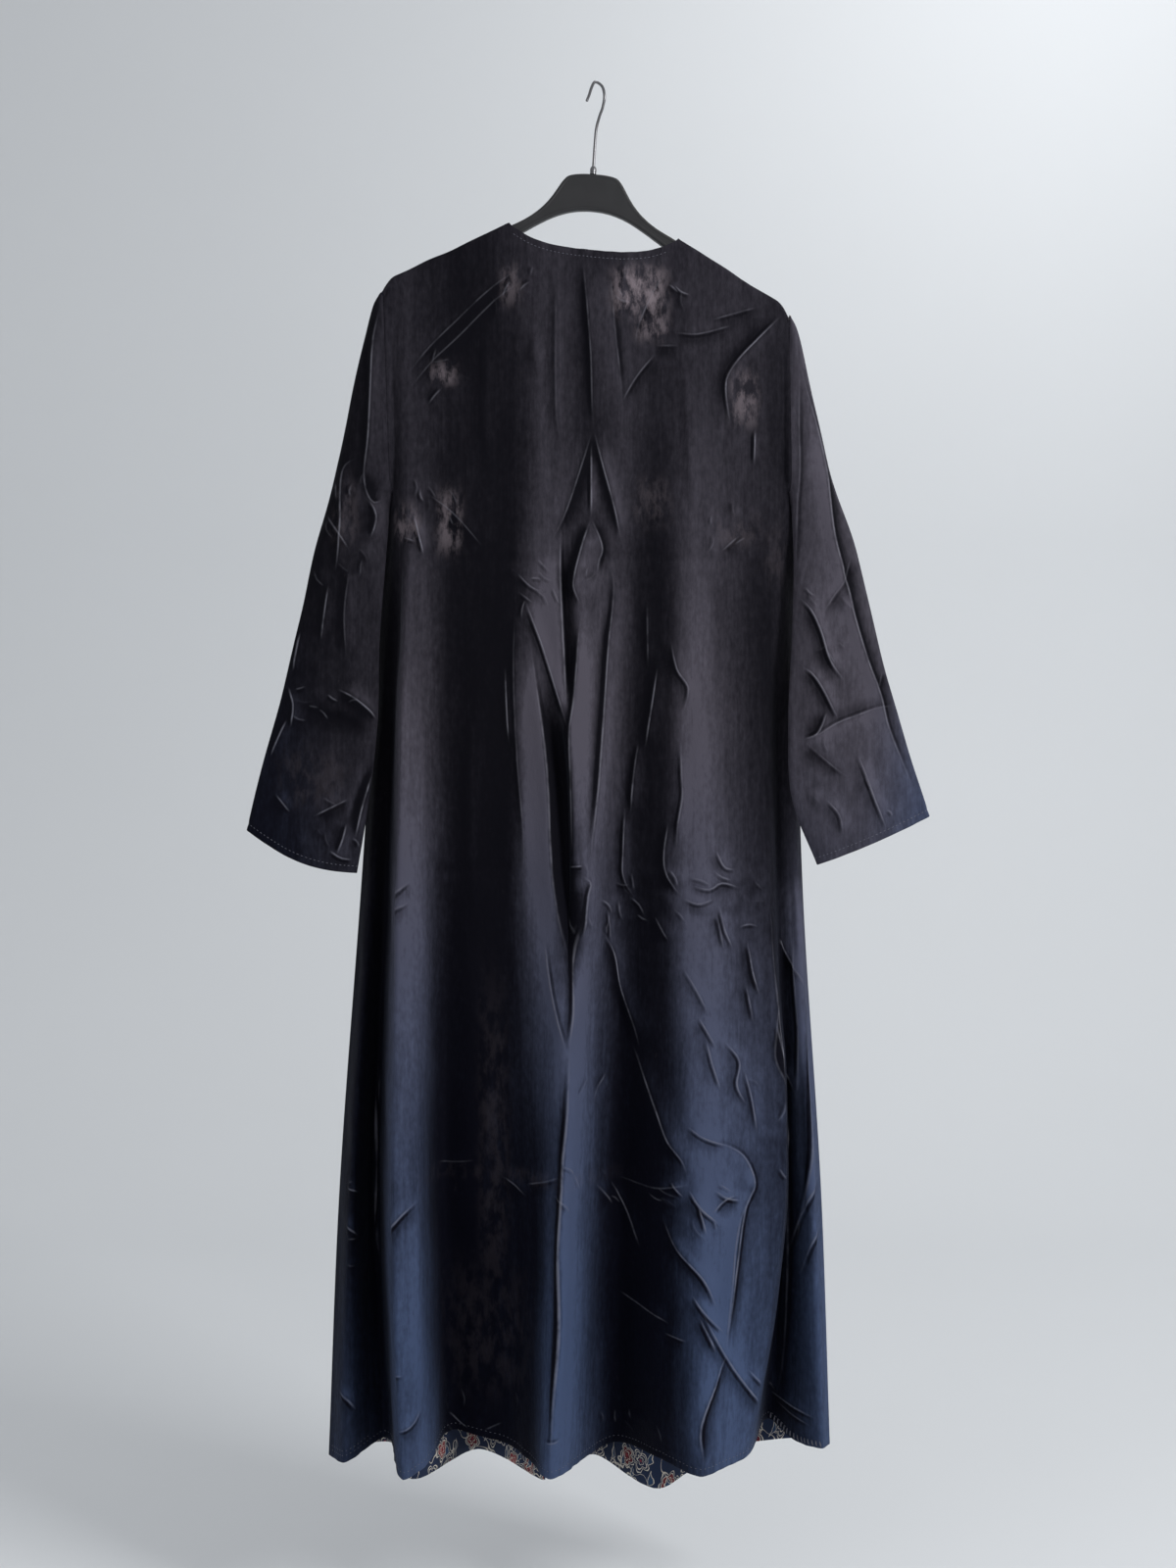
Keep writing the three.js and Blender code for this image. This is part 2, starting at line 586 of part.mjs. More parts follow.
// The hanger's outline: a rounded centre, two sloping arms and an arch below the centre.
function hangerOutline() {
  const shape = new THREE.Shape();
  const tip = ARM_REACH - ARM_END_MARGIN;
  const tipStart = tip - ARM_TIP.round;
  const tipBottom = armTop(tip) - ARM_HEIGHT + ARM_TIP.rise;
  const cornerZ = CENTRE_TOP - CENTRE_CORNER.drop;
  shape.moveTo(0, CENTRE_TOP);
  shape.quadraticCurveTo(CENTRE_HALF - CENTRE_CORNER.reach, CENTRE_TOP, CENTRE_HALF, cornerZ);
  shape.bezierCurveTo(
    SWEEP.nearX, CENTRE_TOP - SWEEP.nearDrop,
    SWEEP.farX, CENTRE_TOP - SWEEP.farDrop,
    NECK_REACH, ARM_TOP_AT_NECK,
  );
  shape.lineTo(tipStart, armTop(tipStart));
  shape.quadraticCurveTo(tip, armTop(tip - ARM_TIP.soften), tip, tipBottom);
  shape.quadraticCurveTo(
    tip - ARM_TIP.soften, tipBottom - ARM_TIP.rise,
    tipStart, armTop(tipStart) - ARM_HEIGHT,
  );
  shape.lineTo(NECK_REACH, ARM_TOP_AT_NECK - ARM_HEIGHT);
  shape.bezierCurveTo(
    ARCH.shoulderX, ARCH.top - ARCH.shoulderDrop,
    ARCH.crownX, ARCH.top,
    0, ARCH.top,
  );
  const half = shape.getPoints(OUTLINE_STEPS);
  const mirrored = half.slice(1, -1).reverse().map((p) => new THREE.Vector2(-p.x, p.y));
  return new THREE.Shape([...half, ...mirrored]);
}

// The bevel grows the outline, so the extrusion starts from one drawn in by that much.
function hangerGeometry() {
  const geometry = new THREE.ExtrudeGeometry(hangerOutline(), {
    depth: HANGER_THICKNESS - 2 * HANGER_EDGE_ROUND,
    bevelEnabled: true,
    bevelThickness: HANGER_EDGE_ROUND,
    bevelSize: HANGER_EDGE_ROUND,
    bevelOffset: -HANGER_EDGE_ROUND,
    bevelSegments: 2,
  });
  geometry.translate(0, 0, HANGER_EDGE_ROUND - HANGER_THICKNESS / 2);
  geometry.rotateX(Math.PI / 2);
  return geometry;
}

const FERRULE = { height: 8, radius: 3.4, taper: 2, lip: 0.8, facets: 16 };

function ferruleGeometry() {
  const bore = WIRE_DIAMETER / 2 + SEAM_GAP;
  const base = CENTRE_TOP + SEAM_GAP;
  const profile = [
    new THREE.Vector2(bore, base),
    new THREE.Vector2(FERRULE.radius, base),
    new THREE.Vector2(FERRULE.radius, base + FERRULE.height - FERRULE.taper),
    new THREE.Vector2(bore + FERRULE.lip, base + FERRULE.height),
    new THREE.Vector2(bore, base + FERRULE.height),
    new THREE.Vector2(bore, base),
  ];
  const geometry = new THREE.LatheGeometry(profile, FERRULE.facets);
  geometry.rotateX(Math.PI / 2);
  return geometry;
}

// The hook's wire, drawn in its own plane: [out of the shank's line, height].
const HOOK_ROUTE = [
  [0, CENTRE_TOP + SEAM_GAP], [0, -62], [1, -46], [6, -32], [12, -20], [14.5, -8],
  [10, 0], [0, WIRE_DIAMETER / 2], [-10, -1], [-16, -9], [-20, -18], [-24, -25],
];
const WIRE_STEPS = 34;
const WIRE_FACETS = 4;

function hookGeometry() {
  const points = HOOK_ROUTE.map(([out, height]) => new THREE.Vector3(out, 0, height));
  const route = new THREE.CatmullRomCurve3(points, false, 'centripetal');
  const section = new THREE.Shape().absarc(0, 0, WIRE_DIAMETER / 2, 0, 2 * Math.PI);
  return new THREE.ExtrudeGeometry(section, {
    steps: WIRE_STEPS, curveSegments: WIRE_FACETS, bevelEnabled: false, extrudePath: route,
  });
}

addPiece('hanger_body', hangerGeometry(), blackPlastic, hanger);
addPiece('hook_ferrule', ferruleGeometry(), steelWire, hanger);
const hook = addPiece('hanger_hook', hookGeometry(), steelWire, hanger);
hook.rotation.z = HOOK_TURN;

export default jacket;
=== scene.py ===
"""A long reversible kimono jacket, velvet outside and printed cotton inside, on its clothes hanger."""

import math
from collections import namedtuple

import bpy
import numpy as np
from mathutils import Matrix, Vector


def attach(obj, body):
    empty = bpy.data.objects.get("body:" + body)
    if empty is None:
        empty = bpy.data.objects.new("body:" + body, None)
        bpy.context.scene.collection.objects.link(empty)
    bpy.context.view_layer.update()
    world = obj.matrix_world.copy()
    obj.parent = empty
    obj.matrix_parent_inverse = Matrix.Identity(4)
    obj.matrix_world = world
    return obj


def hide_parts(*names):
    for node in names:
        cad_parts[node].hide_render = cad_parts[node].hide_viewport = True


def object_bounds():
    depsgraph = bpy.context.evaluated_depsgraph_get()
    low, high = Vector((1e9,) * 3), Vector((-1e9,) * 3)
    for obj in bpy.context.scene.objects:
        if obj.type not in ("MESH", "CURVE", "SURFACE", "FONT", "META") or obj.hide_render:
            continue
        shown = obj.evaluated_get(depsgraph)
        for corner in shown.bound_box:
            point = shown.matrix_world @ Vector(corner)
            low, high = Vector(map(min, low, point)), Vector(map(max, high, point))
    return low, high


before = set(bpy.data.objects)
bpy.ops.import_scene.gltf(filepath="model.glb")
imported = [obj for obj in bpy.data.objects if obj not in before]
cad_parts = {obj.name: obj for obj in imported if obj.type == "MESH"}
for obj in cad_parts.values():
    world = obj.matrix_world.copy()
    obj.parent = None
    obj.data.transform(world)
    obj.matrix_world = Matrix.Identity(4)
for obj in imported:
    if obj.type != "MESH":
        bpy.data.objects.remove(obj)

bl_info = {
    "name": "Velvet Kimono Jacket",
    "version": (1, 0, 0),
    "blender": (4, 5, 0),
    "location": "View3D > Sidebar > Jacket",
    "description": "Makes a long velvet kimono jacket with its folds, on a hanger",
    "category": "Add Mesh",
}

MM = 0.001
CAD_LOW, CAD_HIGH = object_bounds()

# ---- sizes, in millimetres ------------------------------------------------------------------

VELVET_WALL = 1.2
COTTON_WALL = 1.0
LAYER_GAP = 0.3
SEAM_GAP = 0.3
LINING_OUTSIDE = VELVET_WALL + LAYER_GAP
LINING_INSIDE = LINING_OUTSIDE + COTTON_WALL

HANGER_TILT = math.radians(3.7)
HANGER_THICKNESS = 10
HANGER_EDGE_ROUND = 2.5
ARM_REACH = 206
ARM_END_MARGIN = 4
ARM_HEIGHT = 15
ARM_SLOPE = 0.545
ARM_TOP_AT_NECK = -157.1
NECK_REACH = 86
WIRE_DIAMETER = 3
HOOK_TURN = math.radians(63)

CHEST, WAIST, HIP, KNEE = -433, -590, -870, -1180
NECK_LEFT = -95
NECK_RIGHT = 84
NECK_DIP = 22.5
YOKE_DEPTH = 8.2
NECK_DEPTH = 9
FRONT_CHEST_DEPTH = 20
BACK_CHEST_DEPTH = -9.5
NECK_SPREAD_REACH = 24
NECK_SPREAD_DEPTH = 7.8
NECK_SPREAD_DROP = 1.2
YOKE_BELOW = 5.5
SHOULDER_FALL_START = 4
SHOULDER_FALL_CURVE = 0.055
NECKLINE_FLATNESS = 3
NECKLINE_RISE = 0.8
NECKLINE_BLEND = 12
REST_GAP = 1.0
CLOTH_OVER_ARM = VELVET_WALL + LAYER_GAP + COTTON_WALL + REST_GAP

# Where each armhole's edge lies across, at its top and at the underarm.
# fullness: how much further out the body's edge lies a little below the underarm.
Armhole = namedtuple("Armhole", "side top_z top_x underarm_x fullness")
LEFT_HOLE = Armhole(-1, -219, -228, -221, 2)
RIGHT_HOLE = Armhole(1, -240, 201, 204, 5)
FULLNESS_REACH = 120
ARMHOLE_SQUARENESS = 8
HOLE_BLEND = 22
UNDERARM_TUCK = 2.5
UNDERARM_TUCK_REACH = 9

# ---- the folds of the body ------------------------------------------------------------------

# One row for each fold line, from the top edge to the hem. top: x across; chest, waist, hip and
# knee: (x, y) at those levels; hem: (x, y, z). lit: the painted light and shade at the top, chest,
# waist, hip, knee and hem, from 0, painted shade, to 1, painted light.
Fold = namedtuple("Fold", "fold top chest waist hip knee hem lit")
BACK_FOLDS = [
    Fold("left side seam", -228, (-221, 5.3), (-237, 26), (-258, 38), (-280, 36),
         (-291, 32, -1465), (.45, .35, .15, .2, .25, .4)),
    Fold("left side strip", -214, (-213, -6), (-227, 14), (-246, 20), (-262, 0),
         (-268, -2, -1461), (.45, .35, .05, .2, .26, .6)),
    Fold("valley behind the roll", -203, (-206, -9.5), (-214, 7), (-228, 28), (-239, 37),
         (-230, 38, -1448), (.45, .45, .3, .1, .1, .2)),
    Fold("left roll", -190, (-195, -10), (-205, -13), (-211, -26), (-215, -41),
         (-205, -46, -1463), (.4, .5, .75, .9, .8, .8)),
    Fold("inner edge of the roll", -174, (-180, -10), (-186, -11), (-190, -19), (-188, -30),
         (-182, -22, -1458), (.3, .45, .65, .9, .72, .95)),
    Fold("left wide valley", -148, (-156, -9.5), (-160, -5), (-164, 10), (-168, 36),
         (-161, 48, -1444), (.2, .25, .25, .2, 0, .03)),
    Fold("floor of the valley", -122, (-126, -10), (-128, -9), (-132, 3), (-134, 28),
         (-130, 42, -1448), (.2, .2, .1, 0, 0, .05)),
    Fold("left neck point", -95, (-92, -10), (-95, -12), (-100, -4), (-100, 18),
         (-98, 34, -1454), (.38, .15, .08, .1, .17, .1)),
    Fold("slope to the centre", -58, (-56, -12), (-62, -17), (-68, -17), (-68, -10),
         (-74, 0, -1460), (.55, .65, 1, .85, .35, .15)),
    Fold("centre ridge", -12, (-12, -14), (-22, -21), (-28, -30), (-37, -42),
         (-49, -47, -1462), (.4, .4, .95, 1.1, 1.12, 1.12)),
    Fold("centre valley", 40, (26, -9), (22, -6), (20, 7), (18, 28),
         (16, 45, -1456), (.6, .58, .62, .5, .1, .1)),
    Fold("right neck point", 84, (60, -10), (62, -12), (62, -12), (64, -6),
         (62, -3, -1455), (.5, .3, .15, .2, .05, .08)),
    Fold("right ridge", 118, (100, -12), (100, -17), (102, -25), (106, -37),
         (104, -43, -1461), (.5, .7, .9, 1.1, .95, .65)),
    Fold("right flank", 145, (140, -10.5), (143, -14), (147, -18), (156, -25),
         (134, -20, -1459), (.55, .6, .5, .7, .85, .95)),
    Fold("right panel edge", 166, (164, -10), (172, -10), (180, -9), (197, -7),
         (160, 6, -1456), (.55, .45, .2, .4, .4, .85)),
    Fold("right deep valley", 182, (182, -9.5), (188, -2), (194, 22), (203, 50),
         (187, 79, -1442), (.45, .4, .3, .2, .1, .1)),
    Fold("right hollow", 189, (190, -8.5), (197, 4), (205, 22), (217, 36),
         (213, 56, -1457), (.4, .35, .3, .75, .8, .35)),
    Fold("right side strip", 195, (197, -5), (204, 11), (214, 21), (230, 25),
         (240, 28, -1457), (.4, .3, .4, .9, .95, .8)),
    Fold("right side seam", 201, (204, 5.3), (211, 22), (221, 34), (241, 42),
         (251, 45, -1458), (.4, .3, .4, .8, .9, .8)),
]

LEFT_FRONT_FOLDS = [
    Fold("left side seam", -228, (-221, 5.3), (-237, 26), (-258, 38), (-280, 36),
         (-291, 32, -1465), (.45, .35, .15, .2, .25, .45)),
    Fold("left front strip", -212, (-212, 17), (-224, 39), (-246, 56), (-263, 68),
         (-270, 70, -1467), (.45, .4, .4, .5, .6, .7)),
    Fold("left front hollow", -198, (-198, 20), (-205, 36), (-214, 58), (-230, 84),
         (-228, 92, -1472), (.45, .3, .15, .1, .1, .1)),
    Fold("left front roll", -175, (-176, 20), (-182, 20), (-190, 14), (-199, 8),
         (-197, 2, -1479), (.5, .5, .6, .75, .85, .85)),
    Fold("left front valley", -140, (-128, 20), (-136, 27), (-138, 50), (-138, 86),
         (-134, 101, -1482), (.5, .4, .25, .15, .12, .2)),
    Fold("left front edge", -95, (-48, 18), (-28, 16), (-30, 12), (-44, 9),
         (-57, 8, -1483), (.5, .5, .55, .65, .7, .7)),
]

RIGHT_FRONT_FOLDS = [
    Fold("right front edge", 84, (40, 18), (10, 24), (-5, 32), (-22, 44),
         (-38, 50, -1477), (.5, .5, .5, .6, .65, .7)),
    Fold("right front valley", 96, (58, 20), (34, 29), (20, 46), (8, 78),
         (0, 92, -1486), (.5, .4, .25, .15, .1, .15)),
    Fold("right front ridge", 118, (94, 20), (82, 17), (72, 16), (64, 18),
         (60, 21, -1496), (.5, .5, .7, .85, .9, .9)),
    Fold("right front flank", 135, (120, 20), (110, 23), (102, 32), (96, 46),
         (93, 52, -1492), (.5, .45, .5, .6, .6, .6)),
    Fold("right front hollow", 160, (155, 20), (158, 34), (164, 62), (172, 100),
         (168, 118, -1482), (.5, .35, .2, .1, .1, .15)),
    Fold("right front strip", 188, (190, 18), (197, 39), (210, 62), (228, 88),
         (232, 100, -1469), (.45, .4, .5, .6, .7, .7)),
    Fold("right side seam", 201, (204, 5.3), (211, 22), (221, 34), (241, 42),
         (251, 45, -1458), (.4, .3, .1, .4, .45, .5)),
]

# ---- the sleeves ----------------------------------------------------------------------------

# One row for each section down a sleeve. hole_z: its height on the armhole, or None below the
# underarm; inner and outer: (x, z) on the underarm seam and on the outer edge; middle: the depth
# of its middle; swell: the half depth that it adds to the armhole's.
Section = namedtuple("Section", "section hole_z inner outer middle swell")
LEFT_SLEEVE_SECTIONS = [
    Section("shoulder point", -221, None, (-232.5, -222.5), None, 5),
    Section("cap", -232, None, (-239, -234), None, 6),
    Section("upper arm", -262, None, (-247, -263), None, 7),
    Section("mid armhole", -325, None, (-262, -326), None, 7.5),
    Section("lower armhole", -388, None, (-274, -386), None, 9),
    Section("above underarm", -416, None, (-280, -412), None, 12),
    Section("underarm", -433, None, (-284, -428), None, 13.5),
    Section("below underarm", None, (-226, -505), (-301, -494), 0, 13),
    Section("elbow", None, (-232, -590), (-318, -572), -4, 11),
    Section("forearm", None, (-234, -676), (-336, -650), -5, 11),
    Section("above cuff", None, (-243, -758), (-356, -720), -5, 12),
    Section("cuff", None, (-256, -836), (-372, -791), -4, 13),
]
RIGHT_SLEEVE_SECTIONS = [
    Section("shoulder point", -246, None, (204, -248), None, 4),
    Section("cap", -257, None, (209.5, -259), None, 6),
    Section("upper arm", -282, None, (217, -285), None, 7),
    Section("mid armhole", -335, None, (229, -336), None, 7.5),
    Section("lower armhole", -390, None, (241, -388), None, 9),
    Section("above underarm", -416, None, (247, -412), None, 12),
    Section("underarm", -433, None, (252, -429), None, 13.5),
    Section("below underarm", None, (206, -505), (272, -497), -6, 12),
    Section("elbow", None, (203, -590), (290, -576), -16, 10),
    Section("forearm", None, (199, -676), (310, -652), -18, 10),
    Section("above cuff", None, (203, -757), (329, -716), -16, 12),
    Section("cuff", None, (230, -827), (348, -776), -12, 13),
]

# ---- small maths ----------------------------------------------------------------------------


def smooth_step(t):
    t = np.clip(t, 0, 1)
    return t * t * (3 - 2 * t)


def curve_through(knots, values, at):
    """A smooth curve along the last axis, with a slope at each knot from its neighbours."""
    knots, values, at = (np.asarray(a, float) for a in (knots, values, at))
    count = knots.shape[-1]
    lead = np.broadcast_shapes(knots.shape[:-1], values.shape[:-1], at.shape[:-1])
    knots = np.broadcast_to(knots, lead + (count,))
    values = np.broadcast_to(values, lead + (count,))
    at = np.broadcast_to(at, lead + at.shape[-1:])
    before = np.maximum(np.arange(count) - 1, 0)
    after = np.minimum(np.arange(count) + 1, count - 1)
    slopes = (values[..., after] - values[..., before]) / (knots[..., after] - knots[..., before])
    way = np.sign(knots[..., -1:] - knots[..., :1])
    span = np.zeros(at.shape, int)
    for k in range(1, count - 1):
        span += (at - knots[..., k:k + 1]) * way > 0
    here = [np.take_along_axis(a, span, -1) for a in (knots, values, slopes)]
    there = [np.take_along_axis(a, span + 1, -1) for a in (knots, values, slopes)]
    width = there[0] - here[0]
    t = (at - here[0]) / width
    t2, t3 = t * t, t * t * t
    return ((2 * t3 - 3 * t2 + 1) * here[1] + (t3 - 2 * t2 + t) * width * here[2]
            + (3 * t2 - 2 * t3) * there[1] + (t3 - t2) * width * there[2])


def tilted(x, z):
    """A point of the hanger's own upright frame, tilted about the origin."""
    cos, sin = math.cos(HANGER_TILT), math.sin(HANGER_TILT)
    return x * cos + z * sin, z * cos - x * sin


def shoulder_height(x):
    """Height of the cloth's crest over a hanger arm, at x across."""
    x = np.asarray(x, float)
    crest = np.zeros(x.shape)
    for side in (-1, 1):
        near_x, near_z = tilted(side * NECK_REACH, ARM_TOP_AT_NECK + CLOTH_OVER_ARM)
        far_top = ARM_TOP_AT_NECK - (ARM_REACH - NECK_REACH) * ARM_SLOPE
        far_x, far_z = tilted(side * ARM_REACH, far_top + CLOTH_OVER_ARM)
        line = near_z + (x - near_x) / (far_x - near_x) * (far_z - near_z)
        past = np.maximum(side * (x - far_x) + SHOULDER_FALL_START, 0)
        height = line - SHOULDER_FALL_CURVE * past * past
        crest = np.where((x < 0) == (side < 0), height, crest)
    return crest


def top_height(x):
    x = np.asarray(x, float)
    across = np.clip((x - NECK_LEFT) / (NECK_RIGHT - NECK_LEFT), 0, 1)
    left, right = shoulder_height(NECK_LEFT), shoulder_height(NECK_RIGHT)
    swing = np.abs(2 * across - 1)
    dip = NECK_DIP * (1 - swing ** NECKLINE_FLATNESS) ** NECKLINE_RISE
    on_neck = (x > NECK_LEFT) & (x < NECK_RIGHT)
    return np.where(on_neck, left + (right - left) * across - dip, shoulder_height(x))


def armhole_across(hole, z):
    down = (hole.top_z - z) / (hole.top_z - CHEST)
    return hole.top_x + (hole.underarm_x - hole.top_x) * down


def armhole_depth(hole, z):
    """Middle and half width of an armhole, front to back, at a height."""
    half = (hole.top_z - CHEST) / 2
    t = np.clip(np.abs((z - hole.top_z + half) / half), 0, 1)
    middle = (FRONT_CHEST_DEPTH + BACK_CHEST_DEPTH) / 2
    chest_half = (FRONT_CHEST_DEPTH - BACK_CHEST_DEPTH) / 2
    fall = smooth_step((hole.top_z - z) / (2 * half))
    width = (YOKE_DEPTH + (chest_half - YOKE_DEPTH) * fall) * np.sqrt(1 - t ** ARMHOLE_SQUARENESS)
    return middle * fall, width


# ---- the cloth's grids ----------------------------------------------------------------------

TINY = 1e-9
CREST_ROWS = 9
UPPER_ROWS = 74
LOWER_ROWS = 284
# lit: each point's painted light and shade, from 0, painted shade, to 1, painted light.
Cloth = namedtuple("Cloth", "points normals flat lit")


def along_hem(folds):
    hems = np.array([fold.hem[:2] for fold in folds], float)
    steps = np.hypot(*np.diff(hems, axis=0).T)
    return np.concatenate([[0], np.cumsum(steps)])


def fold_columns(folds, count):
    """The fold lines' values at evenly spaced places along the hem, a row for each place."""
    along = along_hem(folds)
    picks = [[f.top, *f.chest, *f.waist, *f.hip, *f.knee, *f.hem, *f.lit] for f in folds]
    at = np.linspace(0, along[-1], count)
    return at, curve_through(along, np.array(picks, float).T, at[None, :]).T


def grid_normals(points, sense):
    across = np.gradient(points, axis=0)
    along = np.gradient(points, axis=1)
    normal = np.cross(across, along) * sense
    return normal / np.maximum(np.linalg.norm(normal, axis=2, keepdims=True), TINY)


def flat_places(points, middle):
    """How far each point is from the middle column and from the top, along the cloth."""
    across = np.linalg.norm(np.diff(points, axis=0), axis=2).cumsum(axis=0)
    across = np.concatenate([np.zeros((1, points.shape[1])), across])
    across = across - across[middle]
    along = np.linalg.norm(np.diff(points[middle], axis=0), axis=1).cumsum()
    along = np.broadcast_to(np.concatenate([[0], along]), points.shape[:2])
    return np.stack([across, -along], axis=2)


def panel_cloth(folds, facing, count, first_hole=None, last_hole=None):
    """A body panel. facing is -1 on the back and 1 on the fronts."""
    at, values = fold_columns(folds, count)
    top, chest_x, chest_y, waist_x, waist_y, hip_x, hip_y, knee_x, knee_y = values.T[:9]
    hem_x, hem_y, hem_z = values.T[9:12]
    lit = values[:, 12:]
    top_z = top_height(top)
    on_neck = np.zeros(count)
    if facing < 0:
        on_neck = smooth_step(np.minimum(top - NECK_LEFT, NECK_RIGHT - top) / NECKLINE_BLEND)
    yoke = facing * (YOKE_DEPTH + (NECK_DEPTH - YOKE_DEPTH) * on_neck)
    outside = np.maximum(np.maximum(NECK_LEFT - top, top - NECK_RIGHT), 0)
    spread = 1 - smooth_step(outside / NECK_SPREAD_REACH)
    drop = NECK_SPREAD_DROP * spread * (1 - on_neck)

    t = np.linspace(0, 1, CREST_ROWS)[None, :]
    seam_y = SEAM_GAP / 2 + (YOKE_DEPTH - SEAM_GAP / 2) * (1 - (1 - t) ** 2)
    spread_y = np.maximum(seam_y, seam_y + (NECK_SPREAD_DEPTH - seam_y) * spread[:, None])
    crest_y = facing * spread_y
    crest_y = crest_y + (yoke[:, None] - crest_y) * on_neck[:, None]
    crest_z = top_z[:, None] - YOKE_BELOW * t ** 2 - drop[:, None]

    start_z = top_z - YOKE_BELOW
    upper = np.linspace(0, 1, UPPER_ROWS + 1)[None, 1:]
    upper_z = (start_z - drop)[:, None] + upper * (CHEST - start_z + drop)[:, None]
    lower = np.linspace(0, 1, LOWER_ROWS + 1)[None, 1:]
    lower_z = CHEST + lower * (hem_z[:, None] - CHEST)
    z = np.concatenate([upper_z, lower_z], axis=1)

    level = np.ones(count)
    knots = np.stack([start_z, CHEST * level, WAIST * level, HIP * level, KNEE * level, hem_z], 1)
    xs = np.stack([top, chest_x, waist_x, hip_x, knee_x, hem_x], 1)
    ys = np.stack([yoke, chest_y, waist_y, hip_y, knee_y, hem_y], 1)
    x = curve_through(knots, xs, z)
    y = curve_through(knots, ys, z)

    for edge, hole in ((0, first_hole), (count - 1, last_hole)):
        if hole is None:
            continue
        middle, half = armhole_depth(hole, z[edge])
        on_hole = z[edge] > CHEST
        below_x = curve_through(knots[edge, 1:], xs[edge, 1:], z[edge])
        below_y = curve_through(knots[edge, 1:], ys[edge, 1:], z[edge])
        below = np.clip((CHEST - z[edge]) / FULLNESS_REACH, 0, 1)
        below_x = below_x + hole.side * hole.fullness * np.sin(math.pi * below) ** 2
        edge_x = np.where(on_hole, armhole_across(hole, z[edge]), below_x)
        edge_y = np.where(on_hole, middle + facing * half, below_y)
        near = 1 - smooth_step(np.abs(at - at[edge]) / HOLE_BLEND)
        x = x + near[:, None] * (edge_x - x[edge])[None, :]
        y = y + near[:, None] * (edge_y - y[edge])[None, :]

    crest_x = np.broadcast_to(top[:, None], crest_z.shape)
    points = np.stack([np.concatenate([crest_x, x], 1), np.concatenate([crest_y, y], 1),
                       np.concatenate([crest_z, z], 1)], axis=2)
    normals = grid_normals(points, facing)
    # The fold lines' painted light and shade, carried between their levels.
    lit_at = np.minimum(points[:, :, 2], start_z[:, None])
    shade = curve_through(knots, lit, lit_at)
    return Cloth(points, normals, flat_places(points, count // 2), np.clip(shade, 0, 1))


def sleeve_cloth(sections, hole, around, along, near_lit, far_lit, sag):
    """A sleeve, from the armhole's back edge over its outer edge to the armhole's front edge."""
    low_row = next(i for i, s in enumerate(sections) if s.hole_z == CHEST)
    inner_z = np.array([s.hole_z if s.inner is None else s.inner[1] for s in sections], float)
    on_hole = armhole_across(hole, inner_z) + hole.side * SEAM_GAP
    inner_x = np.array([on_hole[i] if s.inner is None else s.inner[0]
                        for i, s in enumerate(sections)])
    outer = np.array([s.outer for s in sections], float)
    depth_middle, _ = armhole_depth(hole, inner_z)
    middle = np.array([depth_middle[i] if s.middle is None else s.middle
                       for i, s in enumerate(sections)])
    swell = np.array([s.swell for s in sections], float)
    reach = np.concatenate([[0], np.cumsum(np.hypot(*np.diff(outer, axis=0).T))])
    at = np.linspace(0, reach[-1], along)
    rows = curve_through(reach, np.stack([inner_x, inner_z, *outer.T, middle, swell]), at[None, :])
    in_x, in_z, out_x, out_z, mid, swell = rows
    above = at <= reach[low_row]
    in_z = np.where(above, np.maximum(in_z, CHEST), in_z)
    hole_x = armhole_across(hole, in_z) + hole.side * SEAM_GAP
    in_x = np.where(above, hole_x, in_x)
    tuck = np.exp(-((in_z - CHEST) / UNDERARM_TUCK_REACH) ** 2)
    in_x = in_x - hole.side * UNDERARM_TUCK * tuck
    hole_middle, half = armhole_depth(hole, np.maximum(in_z, CHEST))
    free = smooth_step((at - reach[low_row - 2]) / (reach[low_row + 1] - reach[low_row - 2]))
    mid = hole_middle + (mid - hole_middle) * free
    half = np.where(above, half, 0)

    angle = np.linspace(0, 2 * math.pi, around)[:, None]
    across = (1 - np.cos(angle)) / 2
    facing = np.where(angle <= math.pi, -1, 1)
    x = in_x + (out_x - in_x) * across
    low = smooth_step((at - reach[-3]) / (reach[-1] - reach[-3]))
    z = in_z + (out_z - in_z) * across - sag * low * np.sin(math.pi * across)
    spread = np.hypot(half * np.sqrt(np.maximum(1 - across ** 2, 0)), swell * np.sin(angle))
    y = mid + facing * spread
    points = np.stack([x, y, z], axis=2)
    sense = 1 if hole.side < 0 else -1
    normals = grid_normals(points, sense)
    # Painted light and shade across the sleeve: near_lit at the underarm seam, far_lit at the outer
    # edge.
    lit = near_lit + (far_lit - near_lit) * smooth_step(across) + 0 * at
    return Cloth(points, normals, flat_places(points, around // 2), lit)


def share_side_seam(back, edge, front, front_edge):
    """The back and a front share one direction along their side seam, below the armhole."""
    below = back.points[edge, :, 2] < CHEST + 0.01
    shared = back.normals[edge] + front.normals[front_edge]
    shared /= np.linalg.norm(shared, axis=1, keepdims=True)
    back.normals[edge][below] = shared[below]
    front.normals[front_edge][below] = shared[below]


# ---- meshes ---------------------------------------------------------------------------------


def boundary_of(columns, rows):
    """The grid's edge points in order, each with its neighbour one step inside."""
    ring = [(i, 0, i, 1) for i in range(columns)]
    ring += [(columns - 1, j, columns - 2, j) for j in range(1, rows)]
    ring += [(i, rows - 1, i, rows - 2) for i in range(columns - 2, -1, -1)]
    ring += [(0, j, 1, j) for j in range(rows - 2, 0, -1)]
    return np.array(ring)


